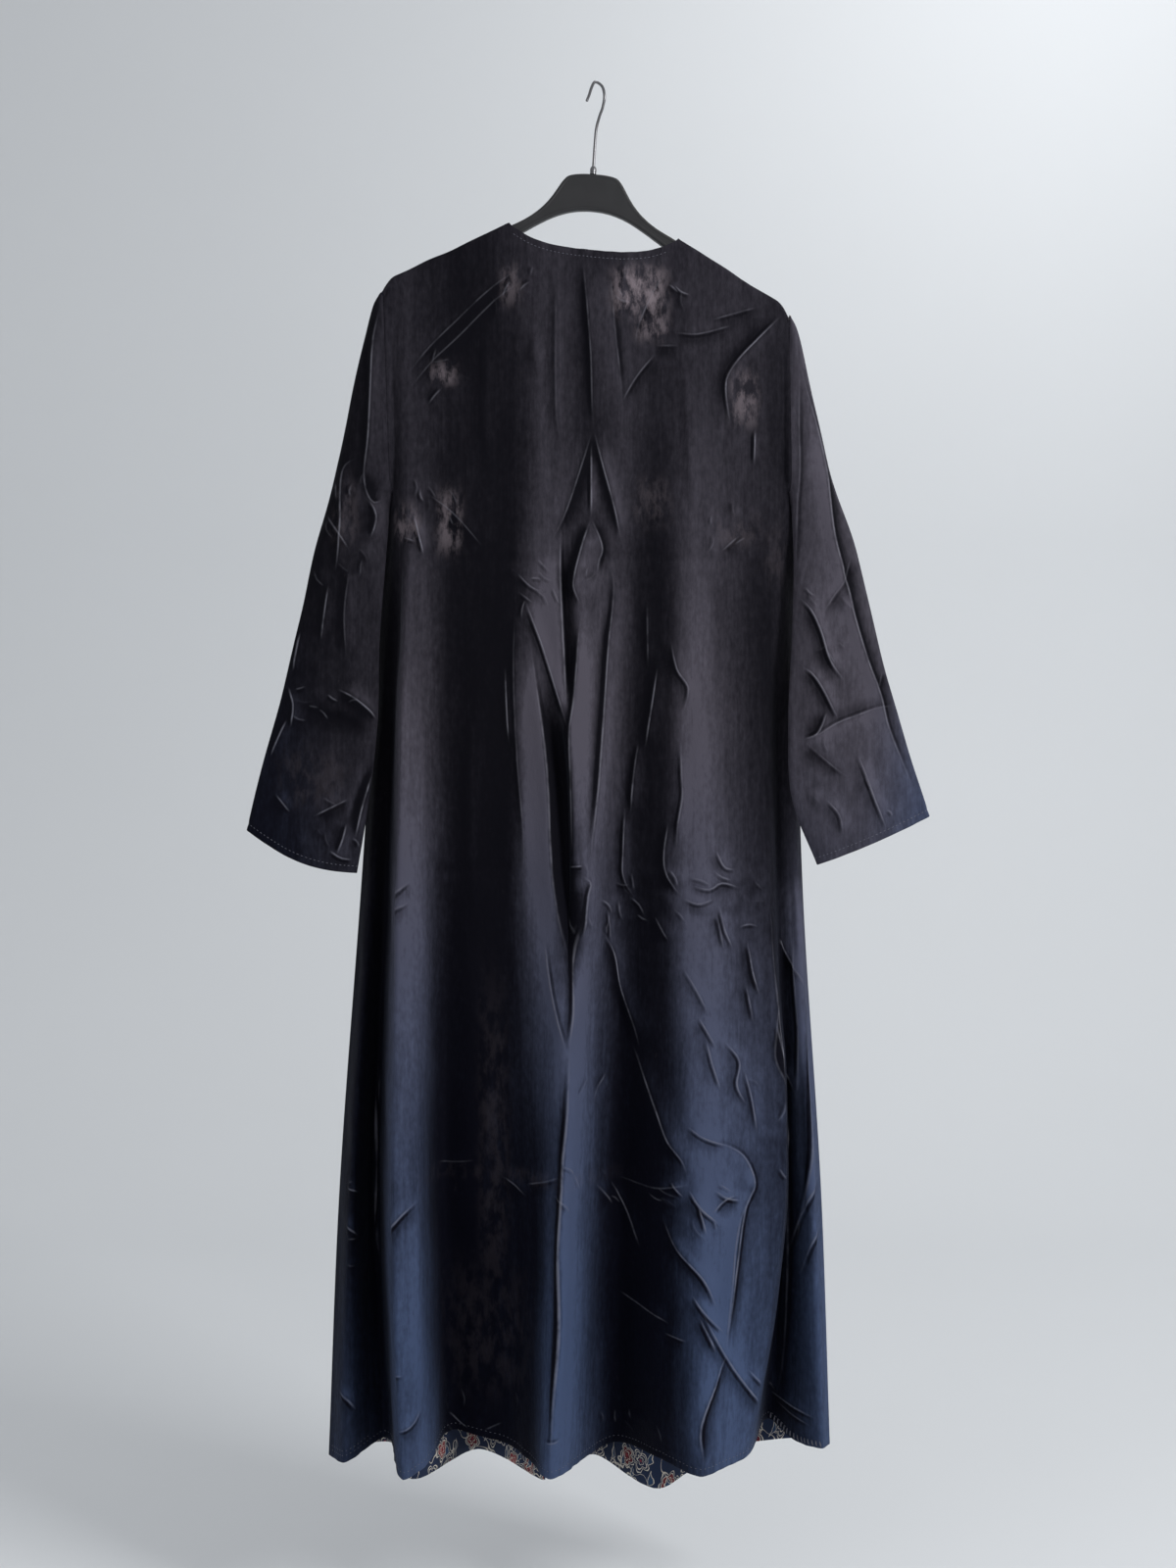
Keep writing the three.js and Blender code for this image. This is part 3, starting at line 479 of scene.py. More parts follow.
def quad_piece(name, points, quads):
    """A smooth-shaded object of many four-sided faces."""
    mesh = bpy.data.meshes.new(name)
    mesh.vertices.add(len(points))
    mesh.vertices.foreach_set("co", (np.asarray(points) * MM).astype(np.float32).ravel())
    mesh.loops.add(quads.size)
    mesh.loops.foreach_set("vertex_index", quads.astype(np.int32).ravel())
    mesh.polygons.add(len(quads))
    mesh.polygons.foreach_set("loop_start", (np.arange(len(quads)) * 4).astype(np.int32))
    mesh.update(calc_edges=True)
    mesh.polygons.foreach_set("use_smooth", np.ones(len(quads), bool))
    mesh.validate()
    piece = bpy.data.objects.new(name, mesh)
    bpy.context.scene.collection.objects.link(piece)
    return piece


def smooth_piece(name, points, faces):
    """A smooth-shaded object of faces with any number of sides."""
    mesh = bpy.data.meshes.new(name)
    mesh.from_pydata((np.asarray(points) * MM).tolist(), [], faces)
    mesh.update()
    mesh.shade_smooth()
    piece = bpy.data.objects.new(name, mesh)
    bpy.context.scene.collection.objects.link(piece)
    return piece


def ring_faces(rings, sides, base=0):
    """The faces between rings of points that follow each other from the point base."""
    faces = []
    for k in range(rings - 1):
        low = base + k * sides
        for i in range(sides):
            j = (i + 1) % sides
            faces.append([low + i, low + j, low + sides + j, low + sides + i])
    return faces


def sharpen(piece, angle):
    """Leaves edges that turn by more than angle unsmoothed."""
    corners = piece.modifiers.new("sharp edges", "EDGE_SPLIT")
    corners.split_angle = angle


def store(piece, name, values):
    attribute = piece.data.attributes.new(name, "FLOAT", "POINT")
    attribute.data.foreach_set("value", np.asarray(values, np.float32).ravel())


def store_flat(piece, flat):
    layer = piece.data.uv_layers.new(name="flat")
    index = np.zeros(len(piece.data.loops), np.int32)
    piece.data.loops.foreach_get("vertex_index", index)
    layer.data.foreach_set("uv", (flat[index] * MM).astype(np.float32).ravel())


def cloth_piece(name, cloth, face, sense, rim, marks):
    """A sheet on the grid face, with its edge turned by each (depth, overhang) of rim.

    marks are the grids of numbers that the cloth's finish reads."""
    columns, rows = face.shape[:2]
    index = np.arange(columns * rows).reshape(columns, rows)
    quads = np.stack([index[:-1, :-1], index[1:, :-1], index[1:, 1:], index[:-1, 1:]], axis=2)
    quads = quads.reshape(-1, 4)
    ring = boundary_of(columns, rows)
    edge = face[ring[:, 0], ring[:, 1]]
    inward = face[ring[:, 2], ring[:, 3]] - edge
    inward /= np.maximum(np.linalg.norm(inward, axis=1, keepdims=True), TINY)
    normal = cloth.normals[ring[:, 0], ring[:, 1]]
    points = [face.reshape(-1, 3)]
    last = index[ring[:, 0], ring[:, 1]]
    for k, (depth, overhang) in enumerate(rim):
        points.append(edge - normal * depth - inward * overhang)
        row = columns * rows + k * len(ring) + np.arange(len(ring))
        turn = np.stack([last, row, np.roll(row, -1), np.roll(last, -1)], axis=1)
        quads = np.concatenate([quads, turn])
        last = row
    if sense < 0:
        quads = quads[:, [0, 3, 2, 1]]
    piece = quad_piece(name, np.concatenate(points), quads)

    def with_rim(grid):
        on_edge = grid[ring[:, 0], ring[:, 1]]
        flat = grid.reshape(columns * rows, -1)
        return np.concatenate([flat] + [on_edge.reshape(len(ring), -1)] * len(rim))

    store_flat(piece, with_rim(cloth.flat))
    for mark, grid in marks.items():
        store(piece, mark, with_rim(grid))
    return piece


VELVET_RIM = [(0.35, 0.4), (0.85, 0.4), (VELVET_WALL, 0.0)]
COTTON_RIM = [(-0.3, 0.25), (-0.7, 0.25), (-COTTON_WALL, 0.0)]
SENSES = {"back": -1, "front_left": 1, "front_right": 1, "sleeve_left": 1, "sleeve_right": -1}
BACK_COLUMNS = 256
FRONT_COLUMNS = 130
SLEEVE_AROUND = 196
SLEEVE_ALONG = 230
_cloths = {}


def cloths():
    """The grids of all the cloth pieces, made once and sewn together."""
    if not _cloths:
        _cloths["back"] = panel_cloth(BACK_FOLDS, -1, BACK_COLUMNS, LEFT_HOLE, RIGHT_HOLE)
        _cloths["front_left"] = panel_cloth(LEFT_FRONT_FOLDS, 1, FRONT_COLUMNS, LEFT_HOLE)
        _cloths["front_right"] = panel_cloth(
            RIGHT_FRONT_FOLDS, 1, FRONT_COLUMNS, None, RIGHT_HOLE)
        _cloths["sleeve_left"] = sleeve_cloth(
            LEFT_SLEEVE_SECTIONS, LEFT_HOLE, SLEEVE_AROUND, SLEEVE_ALONG,
            near_lit=.48, far_lit=.15, sag=11)
        _cloths["sleeve_right"] = sleeve_cloth(
            RIGHT_SLEEVE_SECTIONS, RIGHT_HOLE, SLEEVE_AROUND, SLEEVE_ALONG,
            near_lit=.78, far_lit=.85, sag=2)
        share_side_seam(_cloths["back"], 0, _cloths["front_left"], 0)
        share_side_seam(_cloths["back"], -1, _cloths["front_right"], -1)
    return _cloths


# ---- creases --------------------------------------------------------------------------------

# One row for each crease. path: (x, z) points, downwards or from left to right; right and left:
# how far it reaches on either side (above and below on a level one); height: outwards, or
# inwards below 0; crisp: 1, pointed, to 4, flat topped; lit_right and lit_left: the painted light,
# or below 0 painted shade, beside it on each side; glint: a thin painted highlight line along it.
Crease = namedtuple("Crease", "name path right left height crisp lit_right lit_left glint")
BACK_CREASES = [
    # the pressed pleat at the centre of the yoke
    Crease("centre panel, left edge", [(-17, -185), (-9, -282), (-7, -345), (-5, -369)],
           24, 3, 2.8, 1.5, .15, -.5, .15),
    Crease("centre panel, right edge", [(11, -191), (18, -272), (23, -316), (24, -345)],
           3, 12, 1.8, 1.5, -.4, .1, .1),
    Crease("panel splits right", [(-5, -369), (3, -403), (17, -455), (24, -487)],
           8, 4, 3, 1.5, .3, -.6, .25),
    Crease("panel splits left", [(-7, -369), (-19, -409), (-36, -459), (-51, -488)],
           4, 9, 2.6, 1.5, -.6, .2, .15),
    Crease("centre line", [(-8, -383), (-8, -462)], 5, 5, 2.2, 1.3, .4, .1, .45),
    Crease("diamond, left", [(-8, -462), (-17, -488), (-27, -532), (-23, -546), (-18, -555)],
           8, 3, 4.5, 1.5, .3, -.8, .4),
    Crease("diamond, right", [(-8, -462), (3, -494), (-1, -508), (-2, -522)],
           3, 5, 2.6, 1.5, -.45, .2, .2),
    # the folds that spread from it
    Crease("fold right of centre",
           [(7, -504), (15, -525), (14, -554), (9, -592), (2, -684), (-5, -772), (-9, -830)],
           14, 3.5, 4.5, 1.4, .2, -.8, .3),
    Crease("fold at the centre",
           [(-18, -558), (-22, -593), (-27, -656), (-31, -688), (-30, -742), (-28, -826)],
           9, 3, 4, 1.4, .35, -.9, .3),
    Crease("slit beside the diamond", [(-39, -478), (-37, -530), (-33, -590), (-31, -675)],
           6, 6, -8, 3, -.62, -.62, 0),
    Crease("face left of the slit", [(-40, -466), (-41, -520), (-37, -610), (-34, -668)],
           3, 12, 1.4, 1.6, -.1, .25, .35),
    Crease("pulled fold", [(-78, -546), (-76, -553), (-59, -598), (-43, -650), (-32, -686)],
           6, 3, 3.2, 1.3, .35, -.6, .55),
    Crease("deep slit", [(-60, -612), (-47, -690), (-41, -743), (-37, -829), (-31, -886),
                         (-28, -950), (-29, -992)], 9, 8, -16, 3.5, -1.3, -1.2, 0),
    Crease("left lip of the slit",
           [(-74, -580), (-66, -639), (-57, -700), (-53, -743), (-49, -829), (-42, -886),
            (-31, -936)], 3, 15, 2.4, 1.3, -.5, .5, .2),
    Crease("slit runs out, left", [(-58, -904), (-48, -966), (-34, -1024)],
           6, 6, 2, 1.4, -.1, .25, .3),
    Crease("slit runs out, right", [(-18, -886), (-25, -935), (-28, -982), (-32, -1024)],
           10, 3, 3, 1.4, .3, -.6, .3),
    Crease("centre ridge to the hem",
           [(-30, -1004), (-34, -1085), (-38, -1136), (-39, -1164), (-42, -1227),
            (-43, -1312), (-48, -1392), (-51, -1462)], 14, 3, 5.5, 1.2, .25, -1, .45),
    Crease("shade left of the ridge",
           [(-46, -1040), (-50, -1136), (-54, -1227), (-56, -1330), (-63, -1450)],
           9, 14, -4, 2, -.3, -.3, 0),
    # the storage fold at the hip
    Crease("bracket, level", [(-30, -829), (-17, -828)], 3, 3, 1.6, 1.5, .2, -.3, .3),
    Crease("bracket", [(-18, -838), (-9, -846), (-12, -858), (-17, -906)],
           4, 4, 2.2, 1.4, .2, -.35, .35),
    Crease("bracket, right", [(9, -874), (12, -909)], 4, 3, 1.2, 1.5, .1, -.2, .2),
    # soft lines of the upper back
    Crease("yoke line 1", [(-45, -196), (-45, -345), (-38, -398)], 8, 5, 1.6, 1.6, .1, -.2, .05),
    Crease("yoke line 2", [(-73, -258), (-65, -316)], 6, 5, 1.2, 1.6, .1, -.15, 0),
    Crease("yoke line 3", [(-118, -250), (-121, -340), (-116, -420)],
           7, 5, 1.2, 1.6, .08, -.15, 0),
    Crease("yoke line 4", [(92, -290), (94, -380), (99, -452)], 7, 5, 1.2, 1.6, .08, -.15, 0),
    Crease("pull to the neck, left 1",
           [(-206, -314), (-181, -283), (-152, -254), (-112, -217), (-80, -194)],
           5, 5, 1.9, 1.5, .12, -.3, .12),
    Crease("pull to the neck, left 2",
           [(-204, -329), (-177, -297), (-148, -269), (-108, -230), (-78, -207)],
           5, 5, 1.9, 1.5, .12, -.3, .12),
    Crease("pull from the shoulder", [(194, -246), (168, -272), (144, -298), (134, -319),
                                      (139, -365)], 6, 3, 2.8, 1.4, .15, -.4, .45),
    Crease("neck pull 1", [(70, -200), (54, -229), (41, -261), (38, -283)],
           3, 5, 1.8, 1.5, -.3, .1, .15),
    Crease("neck pull 2", [(60, -287), (39, -313), (24, -339)], 3, 5, 1.8, 1.5, -.3, .1, .15),
    Crease("yoke pull 3", [(78, -265), (103, -267), (142, -257)], 4, 4, 1.4, 1.5, .1, -.25, .15),
    Crease("yoke pull 4", [(118, -252), (168, -238)], 4, 4, 1.3, 1.5, .1, -.25, .12),
    Crease("yoke pull 5", [(60, -279), (84, -279)], 3, 3, 1.1, 1.5, .1, -.2, .1),
    Crease("yoke pull 6", [(165, -368), (164, -404)], 3, 3, 1.3, 1.5, .2, -.2, .45),
    Crease("chest pull", [(-181, -435), (-152, -458), (-123, -491)], 4, 4, 1.6, 1.5, .12, -.3, .12),
    Crease("chest rub", [(-195, -459), (-185, -500)], 3, 3, 1.4, 1.4, .3, -.3, .6),
    Crease("right pull 9", [(130, -496), (147, -481)], 3, 3, 1.2, 1.5, .1, -.25, .15),
    # pulls down the right half
    Crease("right pull 1", [(51, -549), (52, -621)], 8, 4, 1.3, 1.5, .1, -.25, .15),
    Crease("right pull 2", [(62, -618), (56, -661), (49, -705)], 7, 3, 2.2, 1.4, .2, -.45, .4),
    Crease("right pull 3", [(42, -698), (37, -737), (34, -774)], 7, 3, 2.4, 1.4, .2, -.45, .4),
    Crease("right pull 4", [(28, -766), (26, -816), (26, -839), (37, -862)],
           6, 3, 2, 1.4, .2, -.4, .35),
    Crease("right pull 5", [(76, -592), (83, -623), (94, -641), (89, -668)],
           5, 3, 1.7, 1.5, .15, -.35, .25),
    Crease("right pull 6", [(86, -697), (87, -731), (88, -754), (83, -786), (81, -815)],
           6, 3, 1.8, 1.5, .15, -.35, .25),
    Crease("right pull 7", [(73, -780), (69, -827), (80, -852), (88, -860)],
           5, 3, 1.8, 1.5, .15, -.35, .25),
    Crease("hip wrinkle 1", [(123, -812), (132, -830), (144, -832)], 4, 3, 1.4, 1.5, .15, -.3, .2),
    Crease("hip wrinkle 2", [(95, -848), (116, -853), (128, -846), (150, -852)],
           4, 3, 1.4, 1.5, .15, -.3, .2),
    Crease("hip wrinkle 3", [(88, -862), (104, -868), (122, -862)], 4, 3, 1.3, 1.5, .15, -.3, .2),
    Crease("hip wrinkle 4", [(59, -882), (73, -907)], 4, 3, 1.3, 1.5, .15, -.3, .2),
    Crease("hip wrinkle 5", [(123, -878), (131, -915)], 4, 3, 1.3, 1.5, .15, -.3, .2),
    # the long diagonal pulls of the lower right
    Crease("long pull 1", [(2, -896), (15, -921), (23, -957), (38, -997), (44, -1023)],
           10, 4, 3.4, 1.3, .25, -.5, .5),
    Crease("long pull 2", [(37, -1020), (49, -1051), (63, -1090), (74, -1118), (88, -1138),
                           (93, -1156)], 10, 4, 3.4, 1.3, .25, -.5, .5),
    Crease("long pull 3", [(77, -1161), (88, -1174)], 5, 3, 2, 1.4, .2, -.35, .4),
    Crease("long pull 4", [(94, -1166), (108, -1186), (125, -1201)],
           6, 3, 2.6, 1.4, .25, -.4, .45),
    Crease("long pull 5", [(66, -1198), (83, -1229), (108, -1257), (124, -1291)],
           8, 4, 3.2, 1.3, .25, -.5, .45),
    Crease("long pull 6", [(97, -1275), (111, -1294), (130, -1315)],
           6, 3, 2.4, 1.4, .25, -.4, .4),
    Crease("long pull 7", [(105, -1297), (121, -1334)], 5, 3, 2, 1.4, .2, -.35, .3),
    Crease("lower fold", [(111, -1114), (136, -1121), (152, -1133), (162, -1160), (152, -1188),
                          (143, -1245), (136, -1302), (133, -1335)],
           6, 5, 3, 1.4, -.35, .25, .35),
    Crease("lower pleat", [(133, -1335), (121, -1364), (106, -1411), (109, -1452)],
           4, 9, 4, 1.3, -.6, .3, .45),
    Crease("lower fold 2", [(122, -1166), (132, -1174), (148, -1178)], 4, 3, 1.6, 1.5, .15, -.3, .3),
    Crease("lower fold 3", [(161, -1165), (146, -1202), (137, -1274), (132, -1337)],
           5, 5, 2, 1.5, -.2, .15, .2),
    Crease("right pull 10", [(104, -986), (123, -1019)], 5, 3, 1.7, 1.5, .15, -.3, .25),
    Crease("right pull 11", [(130, -1010), (147, -1033), (144, -1058), (155, -1079)],
           6, 3, 2, 1.4, .2, -.4, .35),
    Crease("right pull 12", [(156, -907), (162, -944), (169, -965)], 6, 3, 2, 1.4, .2, -.4, .3),
    Crease("right pull 13", [(154, -953), (162, -993)], 5, 3, 1.6, 1.5, .15, -.3, .25),
    Crease("right pull 14", [(22, -1289), (44, -1298), (74, -1311)], 5, 3, 2, 1.4, .2, -.35, .3),
    Crease("right pull 15", [(69, -1322), (91, -1324)], 4, 3, 1.4, 1.5, .15, -.3, .2),
    Crease("right pull 16", [(12, -1167), (32, -1202), (44, -1239)], 6, 3, 1.8, 1.5, .15, -.3, .3),
    Crease("right pull 17", [(-5, -1165), (15, -1194)], 5, 3, 1.5, 1.5, .15, -.3, .2),
    Crease("right pull 18", [(104, -1284), (127, -1332), (157, -1380), (190, -1428)],
           7, 4, 2.4, 1.4, .2, -.35, .35),
    Crease("right pull 19", [(157, -1358), (196, -1411)], 5, 3, 1.8, 1.5, .2, -.3, .3),
    Crease("ridge nick", [(-11, -1049), (-22, -1070)], 4, 3, 1.4, 1.5, .1, -.3, .2),
    # the right edge of the back and the strip behind it
    Crease("panel edge", [(181, -860), (184, -940), (189, -1005), (196, -1065), (204, -1130),
                          (208, -1205), (207, -1289), (202, -1382), (192, -1430)],
           4, 15, 5, 1.7, -.6, .1, .3),
    Crease("edge pull 2", [(183, -872), (192, -905), (212, -942), (222, -962)],
           5, 3, 2, 1.5, .15, -.35, .35),
    Crease("edge pull 3", [(184, -992), (192, -1030), (207, -1062), (213, -1080)],
           5, 3, 2.2, 1.5, .15, -.4, .4),
    Crease("edge pull 4", [(208, -1250), (218, -1212), (232, -1176), (246, -1150)],
           4, 4, 2, 1.5, .2, -.35, .35),
    Crease("right pull 20", [(127, -870), (131, -893), (141, -915)], 4, 3, 1.4, 1.5, .15, -.3, .3),
    Crease("right pull 21", [(88, -934), (103, -960), (116, -985)], 4, 3, 1.3, 1.5, .12, -.25, .15),
    Crease("right pull 22", [(152, -1040), (160, -1072), (166, -1110)],
           5, 3, 1.6, 1.5, .15, -.3, .2),
    Crease("right pull 23", [(112, -1010), (118, -1035), (127, -1062)],
           4, 3, 1.4, 1.5, .15, -.3, .3),
    Crease("knee wrinkle 1", [(8, -1050), (-2, -1066), (-6, -1082)], 4, 3, 1.4, 1.5, .15, -.3, .25),
    Crease("knee wrinkle 2", [(118, -1190), (131, -1176), (143, -1172)],
           4, 3, 1.6, 1.5, .15, -.3, .3),
    Crease("knee wrinkle 3", [(92, -1100), (110, -1112), (133, -1120)],
           4, 3, 1.5, 1.5, .15, -.3, .3),
    Crease("knee wrinkle 4", [(104, -1180), (112, -1212)], 4, 3, 1.5, 1.5, .15, -.3, .3),
    Crease("edge pull", [(185, -913), (190, -945), (185, -999), (184, -1031), (195, -1061),
                         (206, -1096)], 4, 5, 1.6, 1.4, -.3, .12, .1),
    Crease("strip ridge", [(219, -900), (222, -940), (226, -1000), (227, -1080), (228, -1150),
                           (220, -1205), (212, -1255)], 5, 5, 3, 1.5, .3, -.4, .45),
    Crease("strip ridge 2", [(208, -900), (211, -960), (215, -1010), (214, -1085)],
           4, 5, 2.2, 1.5, .25, -.35, .3),
    Crease("strip pull", [(246, -1204), (230, -1235), (218, -1274)], 4, 4, 2, 1.5, -.3, .2, .3),
    Crease("strip hem turning", [(190, -1411), (212, -1420), (234, -1426)],
           3, 3, 1.6, 1.5, .2, -.4, .5),
    Crease("strip hem fold", [(196, -1420), (214, -1430), (230, -1436)], 3, 3, 1, 1.5, .1, -.2, .2),
    # the left roll and the strip behind it
    Crease("roll, left edge", [(-213, -616), (-216, -732), (-220, -847), (-226, -945),
                               (-232, -1038), (-238, -1097), (-241, -1170), (-236, -1241),
                               (-231, -1292), (-229, -1383), (-224, -1440)],
           12, 4, 6, 1.5, .15, -.7, .2),
    Crease("roll, right edge", [(-189, -1140), (-186, -1205), (-184, -1290), (-181, -1380),
                                (-178, -1430)], 3, 10, 4, 1.5, -.8, .2, .25),
    Crease("roll pull 1", [(-241, -1187), (-230, -1168), (-217, -1150)], 4, 4, 2, 1.4, .2, -.4, .3),
    Crease("roll pull 2", [(-232, -1229), (-208, -1193), (-190, -1176)],
           4, 4, 2.4, 1.4, .2, -.4, .35),
    Crease("roll pull 3", [(-222, -1365), (-212, -1357), (-204, -1356)],
           4, 4, 1.6, 1.5, .2, -.3, .25),
    Crease("roll pull 4", [(-211, -1415), (-195, -1409), (-184, -1393)],
           4, 4, 2, 1.4, .2, -.35, .3),
    Crease("roll wrinkle 1", [(-222, -872), (-208, -852), (-198, -843)],
           4, 4, 1.8, 1.5, .2, -.35, .25),
    Crease("roll wrinkle 2", [(-224, -892), (-212, -874), (-200, -866)],
           4, 4, 1.6, 1.5, .2, -.35, .2),
    Crease("strip pull 1", [(-278, -1169), (-259, -1174), (-248, -1183)],
           3, 4, 1.8, 1.5, .3, -.2, .3),
    Crease("strip pull 2", [(-282, -1201), (-264, -1214), (-248, -1233)],
           3, 4, 1.8, 1.5, .3, -.2, .3),
    Crease("strip pull 3", [(-282, -1385), (-269, -1392), (-258, -1408)],
           3, 4, 1.8, 1.5, .3, -.2, .3),
    # level lines from being folded away
    Crease("storage line, chest", [(-200, -494), (-146, -506), (-53, -505), (40, -502),
                                   (133, -506), (196, -498)], 4, 4, -.6, 1.6, -.06, .04, 0),
    Crease("storage line, hip", [(-205, -836), (-147, -834), (-60, -831)],
           4, 4, -.8, 1.6, -.08, .06, 0),
    Crease("storage line, hip right", [(14, -832), (41, -838), (133, -841), (196, -834)],
           4, 4, 1, 1.6, .06, -.1, 0),
    Crease("storage line, knee 1", [(-178, -1148), (-156, -1149), (-132, -1146)],
           3, 4, 1.2, 1.5, .1, -.1, .08),
    Crease("storage line, knee 2", [(-102, -1163), (-88, -1170), (-78, -1179)],
           3, 4, 1.5, 1.5, .2, -.3, .2),
    Crease("storage line, knee 3", [(-76, -1166), (-58, -1160), (-44, -1152)],
           3, 4, 1.6, 1.5, .2, -.3, .25),
    Crease("storage line, knee 4", [(20, -1164), (60, -1170), (96, -1160)],
           4, 4, 1.2, 1.6, .12, -.15, .12),
    Crease("hem wrinkle", [(-163, -1423), (-152, -1434), (-142, -1441)],
           3, 3, 1.4, 1.5, .2, -.3, .25),
    # faint lines of the left half
    Crease("left line 1", [(-99, -618), (-97, -668), (-95, -702)], 4, 3, 1.4, 1.4, .15, -.2, .35),
    Crease("left line 2", [(-88, -551), (-90, -615), (-86, -714), (-79, -795), (-79, -851)],
           9, 5, 1.8, 1.6, .12, -.25, .1),
    Crease("left line 3", [(-132, -640), (-138, -760), (-134, -905)],
           9, 6, 1.4, 1.6, .1, -.15, 0),
    Crease("left line 4", [(-118, -1010), (-122, -1120), (-130, -1290)],
           10, 6, 1.6, 1.6, .12, -.15, 0),
    Crease("waist wrinkle 1", [(-86, -520), (-72, -534), (-58, -541)], 4, 3, 1.3, 1.5, .15, -.3, .15),
    Crease("waist wrinkle 2", [(-84, -540), (-70, -551)], 3, 3, 1.1, 1.5, .15, -.25, .12),
]
SLEEVE_LEFT_CREASES = [
    Crease("armhole pleat", [(-231, -236), (-238, -273), (-243, -373), (-248, -415), (-246, -433)],
           6, 3, 4, 1.6, .12, -.5, .3),
    Crease("tuck 1", [(-248, -412), (-245, -435), (-238, -445), (-229, -441)],
           3, 4, 3, 1.4, -.6, .3, .3),
    Crease("tuck 2", [(-244, -440), (-236, -459), (-241, -483)], 4, 3, 3, 1.4, .2, -.5, .35),
    Crease("arc", [(-255, -397), (-269, -406), (-273, -435), (-273, -474), (-278, -521)],
           6, 4, 3, 1.4, .25, -.5, .4),
    Crease("pull 1", [(-289, -456), (-274, -478), (-264, -494)], 4, 3, 2, 1.5, .15, -.4, .25),
    Crease("pull 2", [(-285, -531), (-293, -592)], 5, 4, 1.8, 1.5, .15, -.3, .3),
    Crease("pull 3", [(-262, -512), (-268, -560), (-266, -612)], 8, 6, 1.8, 1.6, .15, -.2, .1),
    Crease("cross ridge", [(-275, -642), (-257, -652), (-241, -666), (-234, -675)],
           5, 4, 3.2, 1.4, .3, -.6, .5),
    Crease("cross trough", [(-316, -664), (-291, -672), (-261, -680), (-246, -697)],
           4, 4, -3, 1.6, -.5, -.3, 0),
    Crease("curl", [(-328, -639), (-322, -656), (-322, -668), (-325, -683)],
           4, 4, 2.6, 1.5, .25, -.2, .6),
    Crease("outer rub, low", [(-329, -674), (-347, -713)], 4, 3, 1.6, 1.5, .15, -.2, .5),
    Crease("outer rub, high", [(-315, -580), (-323, -623)], 4, 3, 1.5, 1.5, .15, -.2, .45),
    Crease("cuff wrinkle 1", [(-300, -776), (-284, -768), (-264, -758)],
           4, 4, 1.6, 1.5, .2, -.3, .25),
    Crease("open underarm", [(-240, -716), (-249, -742), (-256, -760), (-261, -786)],
           3, 5, -3.2, 1.8, -.6, .3, 0),
    Crease("underarm layer", [(-238, -728), (-246, -752), (-252, -774), (-257, -800)],
           4, 3, 2.4, 1.5, .3, -.5, .55),
    Crease("underarm seam", [(-266, -784), (-270, -800), (-276, -816)], 3, 3, 1.6, 1.5, .2, -.4, .4),
    Crease("underarm corner", [(-284, -812), (-272, -820), (-260, -822)],
           3, 3, 1.4, 1.5, .15, -.2, .25),
    Crease("cuff wrinkle 2", [(-341, -752), (-325, -772)], 4, 4, 1.6, 1.5, .2, -.3, .2),
]
SLEEVE_RIGHT_CREASES = [
    Crease("outer ridge", [(210, -290), (231, -369), (241, -418), (248, -481), (260, -532),
                           (268, -569), (282, -615), (296, -654), (302, -680), (318, -719),
                           (338, -766)], 4, 10, 3.6, 1.5, -.7, .3, .35),
    Crease("armhole ridge", [(212, -296), (211, -357), (212, -409), (209, -480), (206, -533)],
           6, 5, 2.2, 1.6, -.25, .1, .12),
    Crease("pull to the elbow", [(266, -501), (257, -530), (247, -544), (235, -563)],
           4, 4, -2.4, 1.6, -.4, .1, .1),
    Crease("bright pull 1", [(210, -545), (223, -560), (233, -583), (242, -613), (258, -636)],
           7, 3, 3.2, 1.4, .3, -.5, .5),
    Crease("bright pull 2", [(213, -619), (223, -626), (234, -642), (244, -662), (251, -675)],
           6, 3, 2.8, 1.4, .25, -.5, .45),
    Crease("joining seam", [(214, -699), (229, -691), (250, -678), (268, -671), (294, -662),
                            (313, -660)], 2.5, 2.5, -1.8, 1.6, -.3, .2, .15),
    Crease("dart, upper arm", [(239, -666), (229, -689), (214, -696)],
           4, 4, 2.4, 1.5, .25, -.5, .3),
    Crease("dart, lower arm", [(214, -696), (242, -721), (260, -735)],
           4, 4, -2.4, 1.6, .1, -.5, .1),
    Crease("soft ridge", [(270, -709), (281, -738), (290, -762), (302, -790)],
           7, 6, 2.4, 1.6, .2, -.15, .3),
    Crease("small pull", [(297, -624), (292, -642)], 3, 3, 1.4, 1.5, -.3, .1, .1),
    Crease("cuff wrinkle", [(238, -758), (252, -775), (256, -797)], 4, 4, 1.8, 1.5, .2, -.3, .2),
]
SLEEVE_LEFT_FRONT_CREASES = [
    Crease("front arc", [(-250, -384), (-264, -410), (-268, -452), (-272, -500)],
           5, 5, 2.6, 1.5, .1, -.3, .25),
    Crease("front pull 1", [(-292, -520), (-272, -548), (-250, -560)],
           4, 4, 2, 1.5, .15, -.3, .2),
    Crease("front pull 2", [(-262, -602), (-286, -640), (-318, -662)],
           4, 5, 2.4, 1.5, .15, -.35, .25),
    Crease("front pull 3", [(-280, -700), (-302, -726), (-330, -742)],
           4, 4, 2, 1.5, .15, -.3, .2),
]
SLEEVE_RIGHT_FRONT_CREASES = [
    Crease("front ridge", [(216, -330), (232, -400), (244, -470), (256, -540)],
           5, 6, 2.6, 1.5, -.2, .1, .2),
    Crease("front pull 1", [(212, -520), (238, -548), (262, -560)], 4, 4, 2, 1.5, .15, -.3, .2),
    Crease("front pull 2", [(300, -640), (268, -668), (232, -676)], 4, 4, 2.2, 1.5, .1, -.3, .25),
    Crease("front pull 3", [(316, -716), (286, -744), (262, -790)], 4, 4, 2, 1.5, .1, -.3, .2),
]
